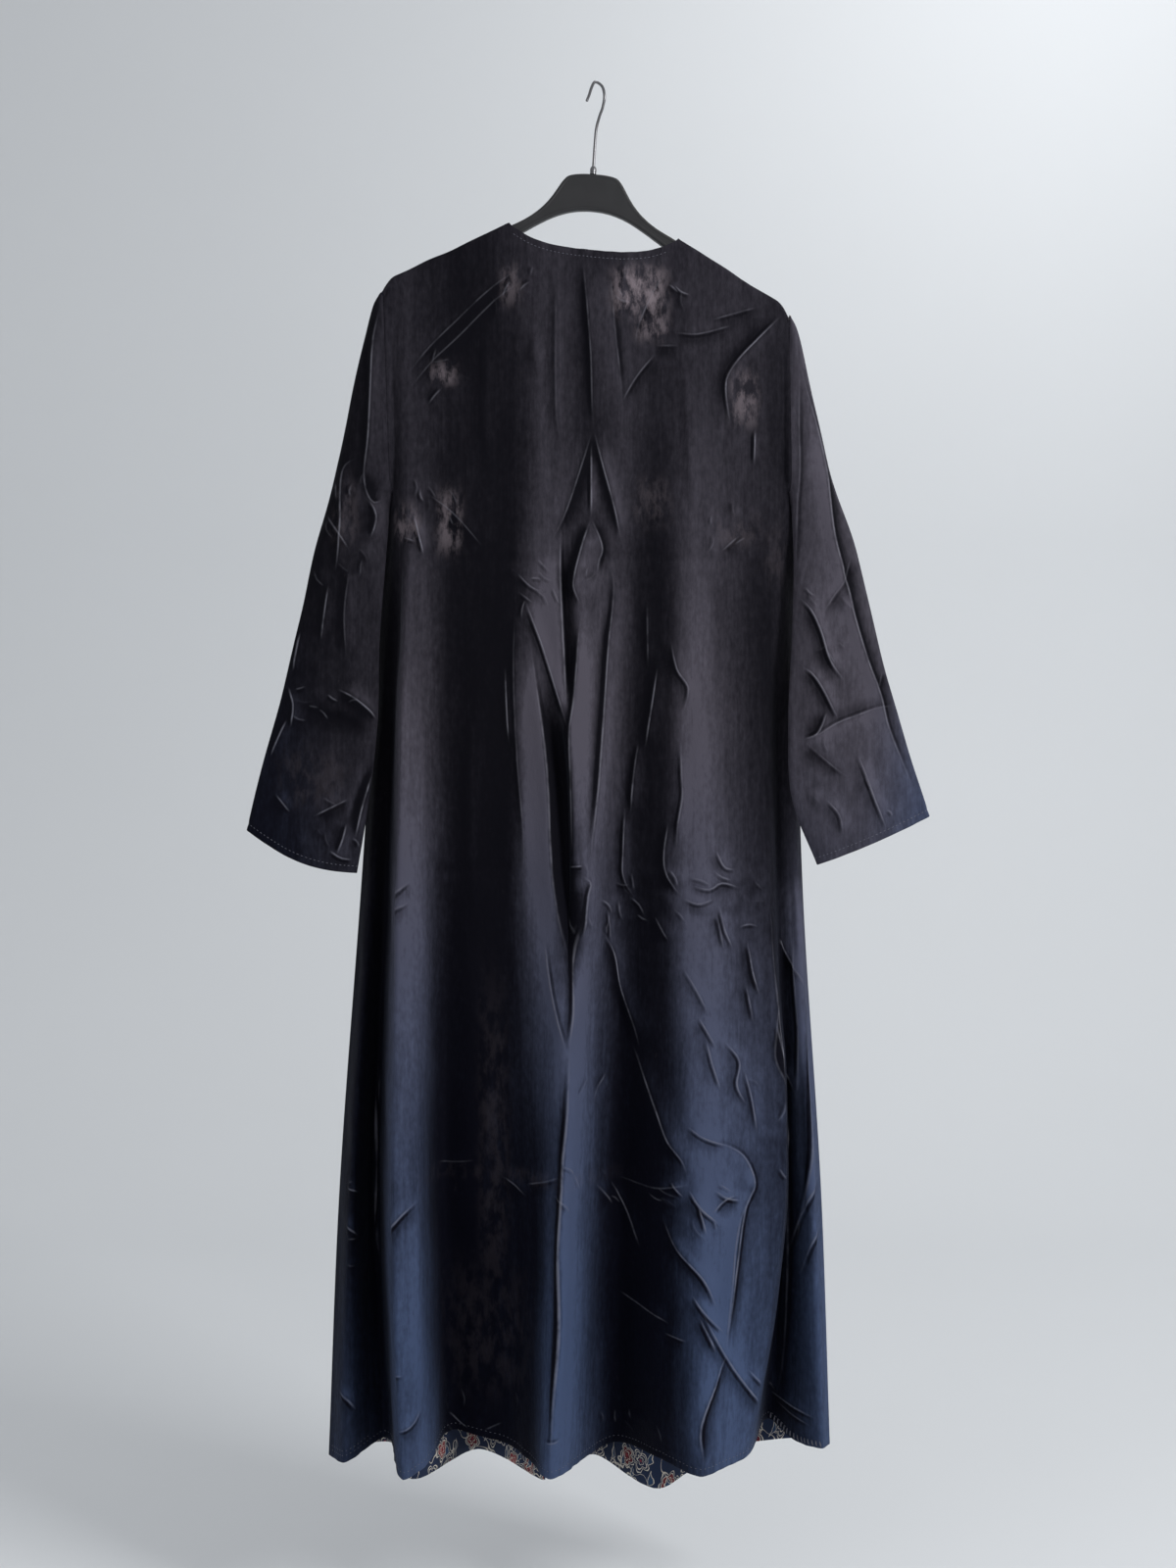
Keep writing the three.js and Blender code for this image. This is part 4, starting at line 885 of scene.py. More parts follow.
FRONT_LEFT_CREASES = [
    Crease("front edge fold", [(-84, -230), (-70, -360), (-60, -480), (-58, -640)],
           9, 5, 2, 1.6, .1, -.2, .1),
    Crease("chest pull", [(-190, -420), (-150, -452), (-104, -470)], 5, 4, 2, 1.5, .1, -.3, .15),
    Crease("shoulder pull", [(-196, -268), (-166, -318), (-150, -372)], 6, 4, 2, 1.5, .1, -.25, .1),
    Crease("storage line", [(-200, -500), (-140, -506), (-60, -503)], 4, 4, -.6, 1.6, -.06, .04, 0),
    Crease("hip line", [(-214, -838), (-140, -834), (-50, -840)], 4, 4, .9, 1.6, .06, -.1, 0),
    Crease("knee line", [(-230, -1168), (-140, -1160), (-60, -1166)], 4, 4, 1, 1.6, .06, -.1, 0),
    Crease("waist fold", [(-118, -560), (-126, -680), (-120, -800)], 9, 5, 2.4, 1.5, .12, -.3, .12),
    Crease("long pull", [(-96, -880), (-118, -980), (-128, -1090), (-160, -1190)],
           7, 4, 2.6, 1.4, .15, -.4, .3),
    Crease("lower pull", [(-84, -1210), (-112, -1290), (-136, -1350)], 6, 4, 2.2, 1.5, .15, -.3, .25),
]
FRONT_RIGHT_CREASES = [
    Crease("front edge fold", [(78, -240), (58, -380), (42, -520), (30, -660)],
           5, 9, 2, 1.6, -.2, .1, .1),
    Crease("neck pull", [(92, -236), (118, -292), (150, -328)], 5, 4, 2, 1.5, .1, -.3, .15),
    Crease("storage line", [(30, -503), (110, -507), (190, -499)], 4, 4, -.6, 1.6, -.06, .04, 0),
    Crease("hip line", [(10, -836), (100, -841), (196, -836)], 4, 4, .9, 1.6, .06, -.1, 0),
    Crease("knee line", [(0, -1160), (80, -1168), (206, -1160)], 4, 4, 1, 1.6, .06, -.1, 0),
    Crease("waist fold", [(108, -600), (100, -700), (104, -790)], 5, 8, 2.2, 1.5, -.3, .12, .12),
    Crease("hip pull", [(176, -760), (152, -812), (120, -846)], 5, 4, 2, 1.5, .12, -.3, .2),
    Crease("long pull", [(30, -930), (42, -1010), (50, -1090), (44, -1150)],
           8, 4, 2.8, 1.4, .15, -.4, .3),
    Crease("lower pull", [(168, -1210), (150, -1270), (140, -1352)], 6, 4, 2.2, 1.5, .15, -.3, .25),
]

# Places where the pile is crushed: the middle (x, z), half the width and height, and strength.
Crush = namedtuple("Crush", "name x z wide high strength")
CRUSHES = [
    Crush("neck, right", 43, -221, 27, 25, 1.6),
    Crush("neck, right, below", 56, -254, 17, 19, 1.1),
    Crush("neck, left", -93, -214, 11, 22, .5),
    Crush("left shoulder blade", -164, -309, 14, 12, .8),
    Crush("right shoulder blade", 154, -335, 14, 28, .9),
    Crush("left chest", -158, -465, 13, 32, .8),
    Crush("left underarm", -203, -468, 13, 20, .8),
    Crush("right of centre, chest", 56, -445, 20, 25, .22),
    Crush("right chest", 146, -473, 24, 18, .22),
    Crush("right underarm", 186, -500, 12, 30, .12),
    Crush("left streak", -112, -1145, 16, 175, .12),
    Crush("left hem", -120, -1330, 46, 70, .1),
    Crush("storage fold, knee", -90, -1158, 100, 8, .1),
    Crush("left sleeve, cuff", -300, -735, 34, 30, .12),
    Crush("left sleeve, underarm", -268, -455, 14, 34, .22),
]
# One row for each place with small wrinkles: the cloth, its middle and half size, how many,
# and the turn of most of them from upright, in degrees, leaning down to the right.
Wrinkled = namedtuple("Wrinkled", "cloth name x z wide high count turn")
WRINKLED = [
    Wrinkled("back", "hip right", 92, -862, 84, 32, 22, 60),
    Wrinkled("back", "hip centre", -6, -868, 26, 36, 8, 15),
    Wrinkled("back", "knee right", 112, -1172, 52, 34, 12, 50),
    Wrinkled("back", "knee centre", -10, -1168, 40, 24, 6, 35),
    Wrinkled("back", "waist left", -62, -515, 30, 44, 9, 40),
    Wrinkled("back", "diamond", -12, -520, 16, 40, 6, -25),
    Wrinkled("back", "neck right", 60, -232, 40, 34, 8, 30),
    Wrinkled("back", "neck left", -92, -226, 26, 34, 7, -30),
    Wrinkled("back", "left blade", -168, -312, 24, 22, 7, -60),
    Wrinkled("back", "left chest", -172, -462, 30, 34, 9, 10),
    Wrinkled("back", "right chest", 150, -478, 34, 26, 8, -30),
    Wrinkled("back", "hem centre", 20, -1425, 60, 22, 9, 10),
    Wrinkled("back", "hem left", -110, -1420, 60, 20, 7, 0),
    Wrinkled("back", "right edge", 176, -1060, 26, 120, 9, 25),
    Wrinkled("back", "left strip", -262, -1200, 16, 60, 6, 70),
    Wrinkled("front_left", "front hip, left", -150, -850, 60, 40, 9, 60),
    Wrinkled("front_left", "front knee, left", -110, -1190, 55, 30, 8, 40),
    Wrinkled("front_right", "front chest, right", 120, -470, 50, 30, 7, -50),
    Wrinkled("front_right", "front hip, right", 130, -900, 60, 34, 9, -40),
    Wrinkled("front_right", "front hem, right", 120, -1330, 70, 60, 8, -20),
    Wrinkled("sleeve_left", "left elbow", -272, -470, 24, 70, 12, 20),
    Wrinkled("sleeve_left", "left forearm", -288, -668, 36, 34, 10, 70),
    Wrinkled("sleeve_left", "left cuff", -282, -780, 34, 34, 8, 40),
    Wrinkled("sleeve_right", "right elbow", 236, -560, 26, 70, 9, 40),
    Wrinkled("sleeve_right", "right cuff", 270, -740, 44, 44, 8, 30),
]
SMALL_LENGTH = (9, 24)
SMALL_HEIGHT = (0.6, 1.4)
SMALL_TURN = 28
SMALL_BEND = 0.35
SMALL_SIDES = (3.5, 3)
SMALL_CRISP = 1.6
# The painted light and painted shade on either side of a small wrinkle, and the range of its painted
# highlight line's strength.
SMALL_LIT = (.08, -.09)
SMALL_GLINT = (-.1, .2)
SMALL_SEED = 41


def small_wrinkles(cloth):
    """The short wrinkles of a cloth's crumpled places, as creases."""
    rows = []
    for place, where in enumerate(WRINKLED):
        if where.cloth != cloth:
            continue
        draw = np.random.default_rng(SMALL_SEED + place)
        for k in range(where.count):
            x = where.x + where.wide * draw.uniform(-1, 1)
            z = where.z + where.high * draw.uniform(-1, 1)
            turn = math.radians(where.turn + draw.normal(0, SMALL_TURN))
            half = draw.uniform(*SMALL_LENGTH) / 2
            step = np.array([math.sin(turn), -math.cos(turn)]) * half
            bend = np.array([step[1], -step[0]]) * draw.uniform(-SMALL_BEND, SMALL_BEND)
            path = [(x - step[0], z - step[1]), (x + bend[0], z + bend[1]),
                    (x + step[0], z + step[1])]
            # The strength of the painted highlight line along this wrinkle; some have none.
            glint_line = max(draw.uniform(*SMALL_GLINT), 0)
            rows.append(Crease(f"{where.name} {k}", path, *SMALL_SIDES,
                               draw.uniform(*SMALL_HEIGHT), SMALL_CRISP, *SMALL_LIT, glint_line))
    return rows


CREASE_STEP = 5
CREASE_END = 0.3
# How many times its width a crease is worked out to, with how much more, and its shade's spread.
CREASE_REACH = 2.2
CREASE_MARGIN = 2
SHADE_SPREAD = 1.6
# A crease counts as fully sloping when this share of its run lies across.
SLOPING_SHARE = 1 / 3
LEAST_UPRIGHT = 3
LEAST_SLOPING = 6.5
SLOPING_CRISP = 2
SIDE_BLEND = (1.5, 4)
LINE_LAYERS = 6
LINE_LEAST = 0.25
LINE_REACH = 12
LINE_FADE = (4.5, 7.5)


def smooth_path(path):
    """The path through its points, in short steps."""
    path = np.array(path, float)
    if len(path) < 3:
        count = max(int(np.linalg.norm(path[-1] - path[0]) / CREASE_STEP), 2)
        return path[0] + (path[-1] - path[0]) * np.linspace(0, 1, count + 1)[:, None]
    steps = np.hypot(*np.diff(path, axis=0).T)
    reach = np.concatenate([[0], np.cumsum(steps)])
    at = np.linspace(0, reach[-1], max(int(reach[-1] / CREASE_STEP), 4) + 1)
    return curve_through(reach, path.T, at[None, :]).T


def along_path(path, places):
    """For each place: its distance to the path, with the right or upper side above 0, and how
    far along the path its nearest point is, from 0 to 1."""
    best = np.full(len(places), np.inf)
    signed = np.zeros(len(places))
    where = np.zeros(len(places))
    pieces = len(path) - 1
    for k in range(pieces):
        step = path[k + 1] - path[k]
        away = places - path[k]
        t = np.clip((away @ step) / (step @ step), 0, 1)
        offset = away - t[:, None] * step
        far = np.hypot(*offset.T)
        side = np.sign(step[0] * away[:, 1] - step[1] * away[:, 0])
        closer = far < best
        best = np.where(closer, far, best)
        signed = np.where(closer, far * np.where(side == 0, 1, side), signed)
        where = np.where(closer, (k + t) / pieces, where)
    return signed, where


class ThinLines:
    """The creases' thin painted highlight lines as distances, in layers in which no two lines come
    close.

    A distance stays true between the grid's points, so that the finish draws a sharp line."""

    def __init__(self, count):
        self.away = np.full((LINE_LAYERS, count), float(LINE_REACH))
        self.strong = np.zeros((LINE_LAYERS, count))
        self.taken = np.zeros((LINE_LAYERS, count), bool)

    def add(self, points, away, strong):
        close = np.abs(away) < LINE_REACH
        points, away, strong = points[close], away[close], strong[close]
        fade = 1 - smooth_step((np.abs(away) - LINE_FADE[0]) / (LINE_FADE[1] - LINE_FADE[0]))
        overlap = self.taken[:, points].sum(axis=1)
        layer = int(np.argmin(overlap))
        free = ~self.taken[layer, points]
        points, away, strong, fade = points[free], away[free], strong[free], fade[free]
        self.away[layer, points] = away
        self.strong[layer, points] = strong * fade
        self.taken[layer, points] = True

    def marks(self, shape):
        grids = {}
        for layer in range(LINE_LAYERS):
            grids[f"away_{layer}"] = self.away[layer].reshape(shape)
            grids[f"line_{layer}"] = self.strong[layer].reshape(shape)
        return grids


def press_creases(cloth, rows, strength):
    """How far the creases move each point outwards, and the painted light and shade they add to it.

    rows pairs each crease with the grid of how much of it shows at each point."""
    places = cloth.points[:, :, [0, 2]].reshape(-1, 2)
    lift = np.zeros(len(places))
    lit = cloth.lit.reshape(-1).copy()
    lines = ThinLines(len(places))
    for crease, shown in rows:
        path = smooth_path(crease.path)
        widest = max(crease.right, crease.left)
        reach = max(CREASE_REACH * widest + CREASE_MARGIN, LINE_REACH)
        low, high = path.min(axis=0) - reach, path.max(axis=0) + reach
        near = np.flatnonzero(((places > low) & (places < high)).all(axis=1))
        if len(near) == 0:
            continue
        away, where = along_path(path, places[near])
        run = np.abs(np.diff(path, axis=0)).sum(axis=0)
        slope = min(run[0] / run.sum() / SLOPING_SHARE, 1)
        least = LEAST_UPRIGHT + (LEAST_SLOPING - LEAST_UPRIGHT) * slope
        wide = np.maximum(np.where(away > 0, crease.right, crease.left), least)
        crisp = crease.crisp + max(SLOPING_CRISP - crease.crisp, 0) * slope
        profile = np.exp(-(np.abs(away) / wide) ** crisp)
        ends = smooth_step(where / CREASE_END) * smooth_step((1 - where) / CREASE_END)
        ends = ends * shown.reshape(-1)[near]
        lift[near] += strength * crease.height * profile * ends
        shade = np.exp(-(np.abs(away) / (SHADE_SPREAD * wide)) ** 2) * ends
        blend = SIDE_BLEND[0] + (SIDE_BLEND[1] - SIDE_BLEND[0]) * slope
        right = (1 + np.tanh(away / blend)) / 2
        lit[near] += (crease.lit_right * right + crease.lit_left * (1 - right)) * shade
        if crease.glint > 0:
            turned = 1 if crease.lit_left <= crease.lit_right else -1
            least_line = LINE_LEAST * min(crease.glint / LINE_LEAST, 1)
            lines.add(near, away * turned, (least_line + crease.glint) * ends)
    shape = cloth.points.shape[:2]
    return lift.reshape(shape), lit.reshape(shape), lines.marks(shape)


SWELLS = 14
SWELL_ACROSS = (35, 130)
SWELL_ALONG = (90, 420)


def soft_unevenness(cloth, seed, amount):
    """Slow swells, longer down the cloth than across it."""
    draw = np.random.default_rng(seed)
    flat = cloth.flat
    swell = np.zeros(flat.shape[:2])
    for _ in range(SWELLS):
        across = draw.uniform(*SWELL_ACROSS)
        along = draw.uniform(*SWELL_ALONG)
        phase = draw.uniform(0, 2 * math.pi)
        lean = draw.choice([-1, 1])
        turn = 2 * math.pi * (flat[:, :, 0] / across + lean * flat[:, :, 1] / along)
        swell += np.sin(turn + phase) * across / SWELL_ACROSS[1]
    return swell * amount / 2


def from_edges(name, cloth):
    """How far each point is from the hem or cuff, and from the neckline, along the cloth."""
    steps = np.linalg.norm(np.diff(cloth.points, axis=1), axis=2)
    zero = np.zeros((len(steps), 1))
    down = np.concatenate([zero, steps.cumsum(axis=1)], axis=1)
    up = down[:, -1:] - down
    neck = np.full(down.shape, FAR_FROM_NECK)
    if name == "back":
        top = cloth.points[:, :1, 0]
        inside = (top > NECK_LEFT + NECK_CORNER) & (top < NECK_RIGHT - NECK_CORNER)
        neck = np.where(inside, down, neck)
    return up, neck


def seam_mark(name, cloth):
    """How near each point is to a stitched line."""
    hem, neck = from_edges(name, cloth)
    near = np.minimum(np.abs(hem - HEM_STITCHING), np.abs(neck - NECK_STITCHING))
    return np.exp(-(near / SEAM_SPREAD) ** 2)


def puckers(name, cloth, seed):
    """The small gathers that a stitched hem pulls up."""
    hem, neck = from_edges(name, cloth)
    draw = np.random.default_rng(seed)
    across = cloth.flat[:, :, 0]
    waves = sum(np.sin(2 * math.pi * across / draw.uniform(*PUCKER_LENGTH) + draw.uniform(0, 6))
                for _ in range(PUCKER_WAVES)) / PUCKER_WAVES
    near = np.minimum(hem, neck)
    groove = -SEAM_GROOVE * seam_mark(name, cloth)
    return groove + PUCKER_HEIGHT * waves * np.exp(-(near / PUCKER_REACH) ** 2)


def edge_fade(cloth, reach):
    """0 on the side edges and 1 from reach inside them, so that seams stay sewn."""
    across = cloth.flat[:, :, 0]
    inside = np.minimum(across - across.min(axis=0), across.max(axis=0) - across)
    return smooth_step(inside / reach)


def lowest_nearby(grid, reach):
    """The lowest value within reach steps of each place."""
    low = grid.copy()
    for axis in (0, 1):
        padded = np.pad(low, [(reach, reach) if a == axis else (0, 0) for a in (0, 1)], "edge")
        count = low.shape[axis]
        parts = [np.take(padded, range(k, k + count), axis) for k in range(2 * reach + 1)]
        low = np.minimum.reduce(parts)
    return low


# The creases on the side of each cloth that faces the back, and those on its other side.
CREASES = {
    "back": (BACK_CREASES, []),
    "front_left": ([], FRONT_LEFT_CREASES),
    "front_right": ([], FRONT_RIGHT_CREASES),
    "sleeve_left": (SLEEVE_LEFT_CREASES, SLEEVE_LEFT_FRONT_CREASES),
    "sleeve_right": (SLEEVE_RIGHT_CREASES, SLEEVE_RIGHT_FRONT_CREASES),
}
SEEDS = {"back": 3, "front_left": 5, "front_right": 7, "sleeve_left": 11, "sleeve_right": 13}
SEAM_FADE = 12
HEM_STITCHING = 7
NECK_STITCHING = 7
SEAM_SPREAD = 2.6
SEAM_GROOVE = 0.5
NECK_CORNER = 3
FAR_FROM_NECK = 1000.0
PUCKER_HEIGHT = 0.8
PUCKER_REACH = 13
PUCKER_LENGTH = (13, 30)
PUCKER_WAVES = 4
PUCKER_SEED = 20
SWELL_HEIGHT = 0.5
LIT_MOST = 1.2
TURN_OVER = 0.04
# Creases fade out where the cloth turns away from the back: the normal's depth share there.
STEEP = 0.42
FACING = 0.78
_pressed = {}


def pressed(name, strength):
    """A cloth's displacement outwards and the marks of its finish."""
    if name not in _pressed:
        cloth = cloths()[name]
        columns = cloth.points.shape[0]
        part = np.ones(cloth.points.shape[:2])
        if name.startswith("sleeve"):
            way = (np.arange(columns) - columns / 2) / (TURN_OVER * columns)
            part = part * smooth_step(0.5 - way)[:, None]
        elif name.startswith("front"):
            part = part * 0
        turned = (np.abs(cloth.normals[:, :, 1]) - STEEP) / (FACING - STEEP)
        facing = smooth_step(turned)
        backs, others = CREASES[name]
        if name.startswith("front"):
            others = others + small_wrinkles(name)
        else:
            backs = backs + small_wrinkles(name)
        rows = [(crease, part * facing) for crease in backs]
        rows += [(crease, (1 - part) * facing) for crease in others]
        lift, lit, lines = press_creases(cloth, rows, strength)
        lift = lift + soft_unevenness(cloth, SEEDS[name], strength * SWELL_HEIGHT)
        lift = lift + strength * puckers(name, cloth, SEEDS[name] + PUCKER_SEED)
        lift = lift * edge_fade(cloth, SEAM_FADE)
        _pressed[name] = lift, np.clip(lit, 0, LIT_MOST), lines, crushed(cloth) * part
    return _pressed[name]


def crushed(cloth):
    """How crushed the pile is at each point."""
    amount = np.zeros(cloth.points.shape[:2])
    x, z = cloth.points[:, :, 0], cloth.points[:, :, 2]
    for patch in CRUSHES:
        away = ((x - patch.x) / patch.wide) ** 4 + ((z - patch.z) / patch.high) ** 4
        amount = np.maximum(amount, patch.strength * np.exp(-away))
    return amount


# The height mark runs from 0 at the hook to 1 this far below it.
HEIGHT_SPAN = 1500


def velvet_sheet(name, strength):
    cloth = cloths()[name]
    lift, lit, lines, crush = pressed(name, strength)
    face = cloth.points + cloth.normals * lift[:, :, None]
    height = -cloth.points[:, :, 2] / HEIGHT_SPAN
    seam = seam_mark(name, cloth)
    marks = {"lit": lit, "height": height, "crush": crush, "seam": seam, **lines}
    return cloth_piece(f"velvet_{name}", cloth, face, SENSES[name], VELVET_RIM, marks)


LINING_STEP = 2


def cotton_sheet(name, strength):
    cloth = cloths()[name]
    lift = lowest_nearby(pressed(name, strength)[0], LINING_STEP)
    columns, rows = lift.shape
    pick = np.ix_(sparse_steps(columns), sparse_steps(rows))
    thin = Cloth(cloth.points[pick], cloth.normals[pick], cloth.flat[pick], cloth.lit[pick])
    inside = thin.points + thin.normals * (lift[pick] - LINING_INSIDE)[:, :, None]
    return cloth_piece(f"cotton_{name}", thin, inside, -SENSES[name], COTTON_RIM, {})


def sparse_steps(count):
    """Every LINING_STEP-th place, with the last one always kept."""
    steps = list(range(0, count - 1, LINING_STEP))
    return steps + [count - 1]


# ---- stitching ------------------------------------------------------------------------------

# One row for each stitched line: the cloth, its first and last column as shares of its width,
# how far from its hem (or from its neckline, with from_neck), and each stitch's length, the gap
# to the next, its slant across the line and its thickness.
Stitching = namedtuple(
    "Stitching", "name cloth first last from_neck away length gap slant thick")
STITCHINGS = [
    Stitching("stitches_neckline", "back", .38, .66, True, 7, 3, 1.4, 0, .34),
    Stitching("stitches_back_hem", "back", .01, .93, False, 7, 2.6, 2.6, 0, .32),
    Stitching("stitches_left_strip", "back", .01, .085, False, 12, 2.6, 2.6, 0, .32),
    Stitching("stitches_right_strip", "back", .9, .985, False, 4, 2.2, 3.2, 7, .85),
    Stitching("stitches_front_left", "front_left", .02, .98, False, 7, 2.6, 2.6, 0, .32),
    Stitching("stitches_front_right", "front_right", .02, .98, False, 7, 2.6, 2.6, 0, .32),
    Stitching("stitches_cuff_left", "sleeve_left", .01, .99, False, 7, 2.8, 1.8, 0, .34),
    Stitching("stitches_cuff_right", "sleeve_right", .01, .99, False, 7, 2.8, 1.8, 0, .34),
]
STITCH_SIDES = 6
STITCH_RINGS = [(0, .35), (.12, .85), (.5, 1), (.88, .85), (1, .35)]
# How deep a stitch's ends dip and how high its middle stands, as shares of its thickness.
STITCH_DIP = 1.6
STITCH_STAND = 0.35
STITCH_UNEVEN = (.88, 1.1)
FIRST_STITCH = 1.0


def stitched_line(row, strength):
    """Points and normals along a stitched line, on the velvet's outer face."""
    cloth = cloths()[row.cloth]
    face = cloth.points + cloth.normals * pressed(row.cloth, strength)[0][:, :, None]
    hem, neck = from_edges(row.cloth, cloth)
    columns = face.shape[0]
    points, normals = [], []
    for column in range(int(row.first * columns), int(row.last * columns)):
        away = neck[column] if row.from_neck else -hem[column]
        wanted = row.away if row.from_neck else -row.away
        if row.from_neck and away[0] > 0:
            continue
        points.append([np.interp(wanted, away, face[column, :, k]) for k in range(3)])
        normals.append([np.interp(wanted, away, cloth.normals[column, :, k]) for k in range(3)])
    return np.array(points), np.array(normals)


def stitches(row, strength):
    """The stitches of one line, in one mesh of small rounded threads."""
    line, normals = stitched_line(row, strength)
    reach = np.concatenate([[0], np.linalg.norm(np.diff(line, axis=0), axis=1).cumsum()])
    points, faces = [], []
    draw = np.random.default_rng(len(row.name))
    start = FIRST_STITCH

    def at(grid, place):
        return np.array([np.interp(place, reach, grid[:, k]) for k in range(3)])

    while start + row.length < reach[-1]:
        length = row.length * draw.uniform(*STITCH_UNEVEN)
        first, last = at(line, start), at(line, start + length)
        up = at(normals, start + length / 2)
        along = last - first
        side = np.cross(along, up)
        side /= np.linalg.norm(side)
        first, last = first - side * row.slant / 2, last + side * row.slant / 2
        along = (last - first) / np.linalg.norm(last - first)
        side = np.cross(along, up)
        side /= np.linalg.norm(side)
        over = np.cross(side, along)
        base = len(points)
        for share, wide in STITCH_RINGS:
            sunk = row.thick * (STITCH_DIP * (2 * share - 1) ** 2 - STITCH_STAND)
            centre = first + (last - first) * share - over * sunk
            for turn in np.linspace(0, 2 * math.pi, STITCH_SIDES, endpoint=False):
                out = side * math.cos(turn) + over * math.sin(turn)
                points.append(centre + out * row.thick * wide)
        rings = len(STITCH_RINGS)
        faces += ring_faces(rings, STITCH_SIDES, base)
        faces.append([base + i for i in reversed(range(STITCH_SIDES))])
        faces.append([base + (rings - 1) * STITCH_SIDES + i for i in range(STITCH_SIDES)])
        start += length + row.gap
    return smooth_piece(row.name, points, faces)


# ---- finishes -------------------------------------------------------------------------------


class Finish:
    """A material's node tree, with short calls for its nodes."""

    def __init__(self, name):
        self.material = bpy.data.materials.new(name)
        self.material.use_nodes = True
        self.tree = self.material.node_tree
        self.tree.nodes.clear()
        self.output = self.tree.nodes.new("ShaderNodeOutputMaterial")
        self.shader = self.tree.nodes.new("ShaderNodeBsdfPrincipled")
        self.tree.links.new(self.shader.outputs[0], self.output.inputs["Surface"])

    def node(self, kind, **settings):
        node = self.tree.nodes.new(kind)
        for key, value in settings.items():
            setattr(node, key, value)
        return node

    def link(self, source, socket):
        if isinstance(source, bpy.types.NodeSocket):
            self.tree.links.new(source, socket)
        else:
            socket.default_value = source

    def maths(self, operation, *values):
        node = self.node("ShaderNodeMath", operation=operation)
        for value, socket in zip(values, node.inputs):
            self.link(value, socket)
        return node.outputs[0]

    def mix(self, factor, first, second):
        node = self.node("ShaderNodeMix", data_type="RGBA")
        self.link(factor, node.inputs[0])
        self.link(first, node.inputs[6])
        self.link(second, node.inputs[7])
        return node.outputs[2]

    def ramp(self, value, low, high):
        """value brought from low..high to 0..1, softly."""
        node = self.node("ShaderNodeMapRange", interpolation_type="SMOOTHSTEP")
        self.link(value, node.inputs["Value"])
        node.inputs["From Min"].default_value = low
        node.inputs["From Max"].default_value = high
        return node.outputs["Result"]

    def mark(self, name):
        return self.node("ShaderNodeAttribute", attribute_name=name).outputs["Fac"]

    def noise(self, place, scale, detail=3, rough=0.5):
        node = self.node("ShaderNodeTexNoise")
        self.link(place, node.inputs["Vector"])
        node.inputs["Scale"].default_value = scale
        node.inputs["Detail"].default_value = detail
        node.inputs["Roughness"].default_value = rough
        return node.outputs["Fac"]

    def stretched(self, place, x, y, z):
        node = self.node("ShaderNodeMapping")
        self.link(place, node.inputs["Vector"])
        node.inputs["Scale"].default_value = (x, y, z)
        return node.outputs["Vector"]

    def bump(self, height, strength, distance, under=None):
        node = self.node("ShaderNodeBump")
        node.inputs["Strength"].default_value = strength
        node.inputs["Distance"].default_value = distance
        self.link(height, node.inputs["Height"])
        if under is not None:
            self.link(under, node.inputs["Normal"])
        return node.outputs["Normal"]

    def set(self, **values):
        for key, value in values.items():
            self.link(value, self.shader.inputs[key.replace("_", " ")])


def opaque(colour):
    return (*colour, 1.0)


# The half width of a crease's painted highlight line, and where the painted shadow beside it lies, in
# mm.
LINE_HALF = 1.5
SHADOW_AWAY = 2.7
SHADOW_HALF = 2.3


def crease_lines(f, place):
    """The painted highlight line along each sharp crease and the painted shadow beside it, unevenly
    strong.
    """
    uneven = f.ramp(f.noise(f.stretched(place, 60, 60, 45), 1.0, 3, 0.6), 0.3, 0.6)
    glint_line, shadow = 0.0, 0.0
    for layer in range(LINE_LAYERS):
        away = f.mark(f"away_{layer}")
        strong = f.mark(f"line_{layer}")
        line = f.ramp(f.maths("ABSOLUTE", away), LINE_HALF, 0.1)
        beside = f.maths("ABSOLUTE", f.maths("ADD", away, SHADOW_AWAY))
        glint_line = f.maths("MULTIPLY_ADD", line, strong, glint_line)
        shadow = f.maths("MULTIPLY_ADD", f.ramp(beside, SHADOW_HALF, 0.2), strong, shadow)
    glint_line = f.maths("MULTIPLY", glint_line, f.maths("MULTIPLY_ADD", uneven, 0.7, 0.3))
    return glint_line, shadow


# How much further down the ramp from warm black to navy the cuffs lie than the body beside them.
CUFFS_BLUER = 0.26
# How far out from the middle, in metres, the cuffs' colour begins and is full.
CUFFS_FROM, CUFFS_FULL = 0.26, 0.37
# The height marks between which the pile turns from warm black to navy.
NAVY_FROM, NAVY_FULL = 0.42, 0.92

# One row for each size of unevenness in the pile: how often it repeats in a metre along x, y
# and z, its detail and roughness, and how much it moves the mark of painted light and shade.
Unevenness = namedtuple("Unevenness", "name often detail rough weight")
PILE_UNEVENNESS = [
    Unevenness("patches", (9, 9, 4), 4, 0.6, 0.36),
    Unevenness("streaks", (90, 90, 7), 3, 0.55, 0.32),
    Unevenness("brushed", (240, 240, 110), 3, 0.6, 0.42),
    Unevenness("fibres", (420, 420, 26), 2, 0.5, 0.2),
]
PAINTED_SHADOW_WEIGHT = -0.7
GLINT_LINE_WEIGHT = 0.8
PAINTED_LIGHT_MOST = 1.15
PAINTED_LIGHT_POWER = 2.15


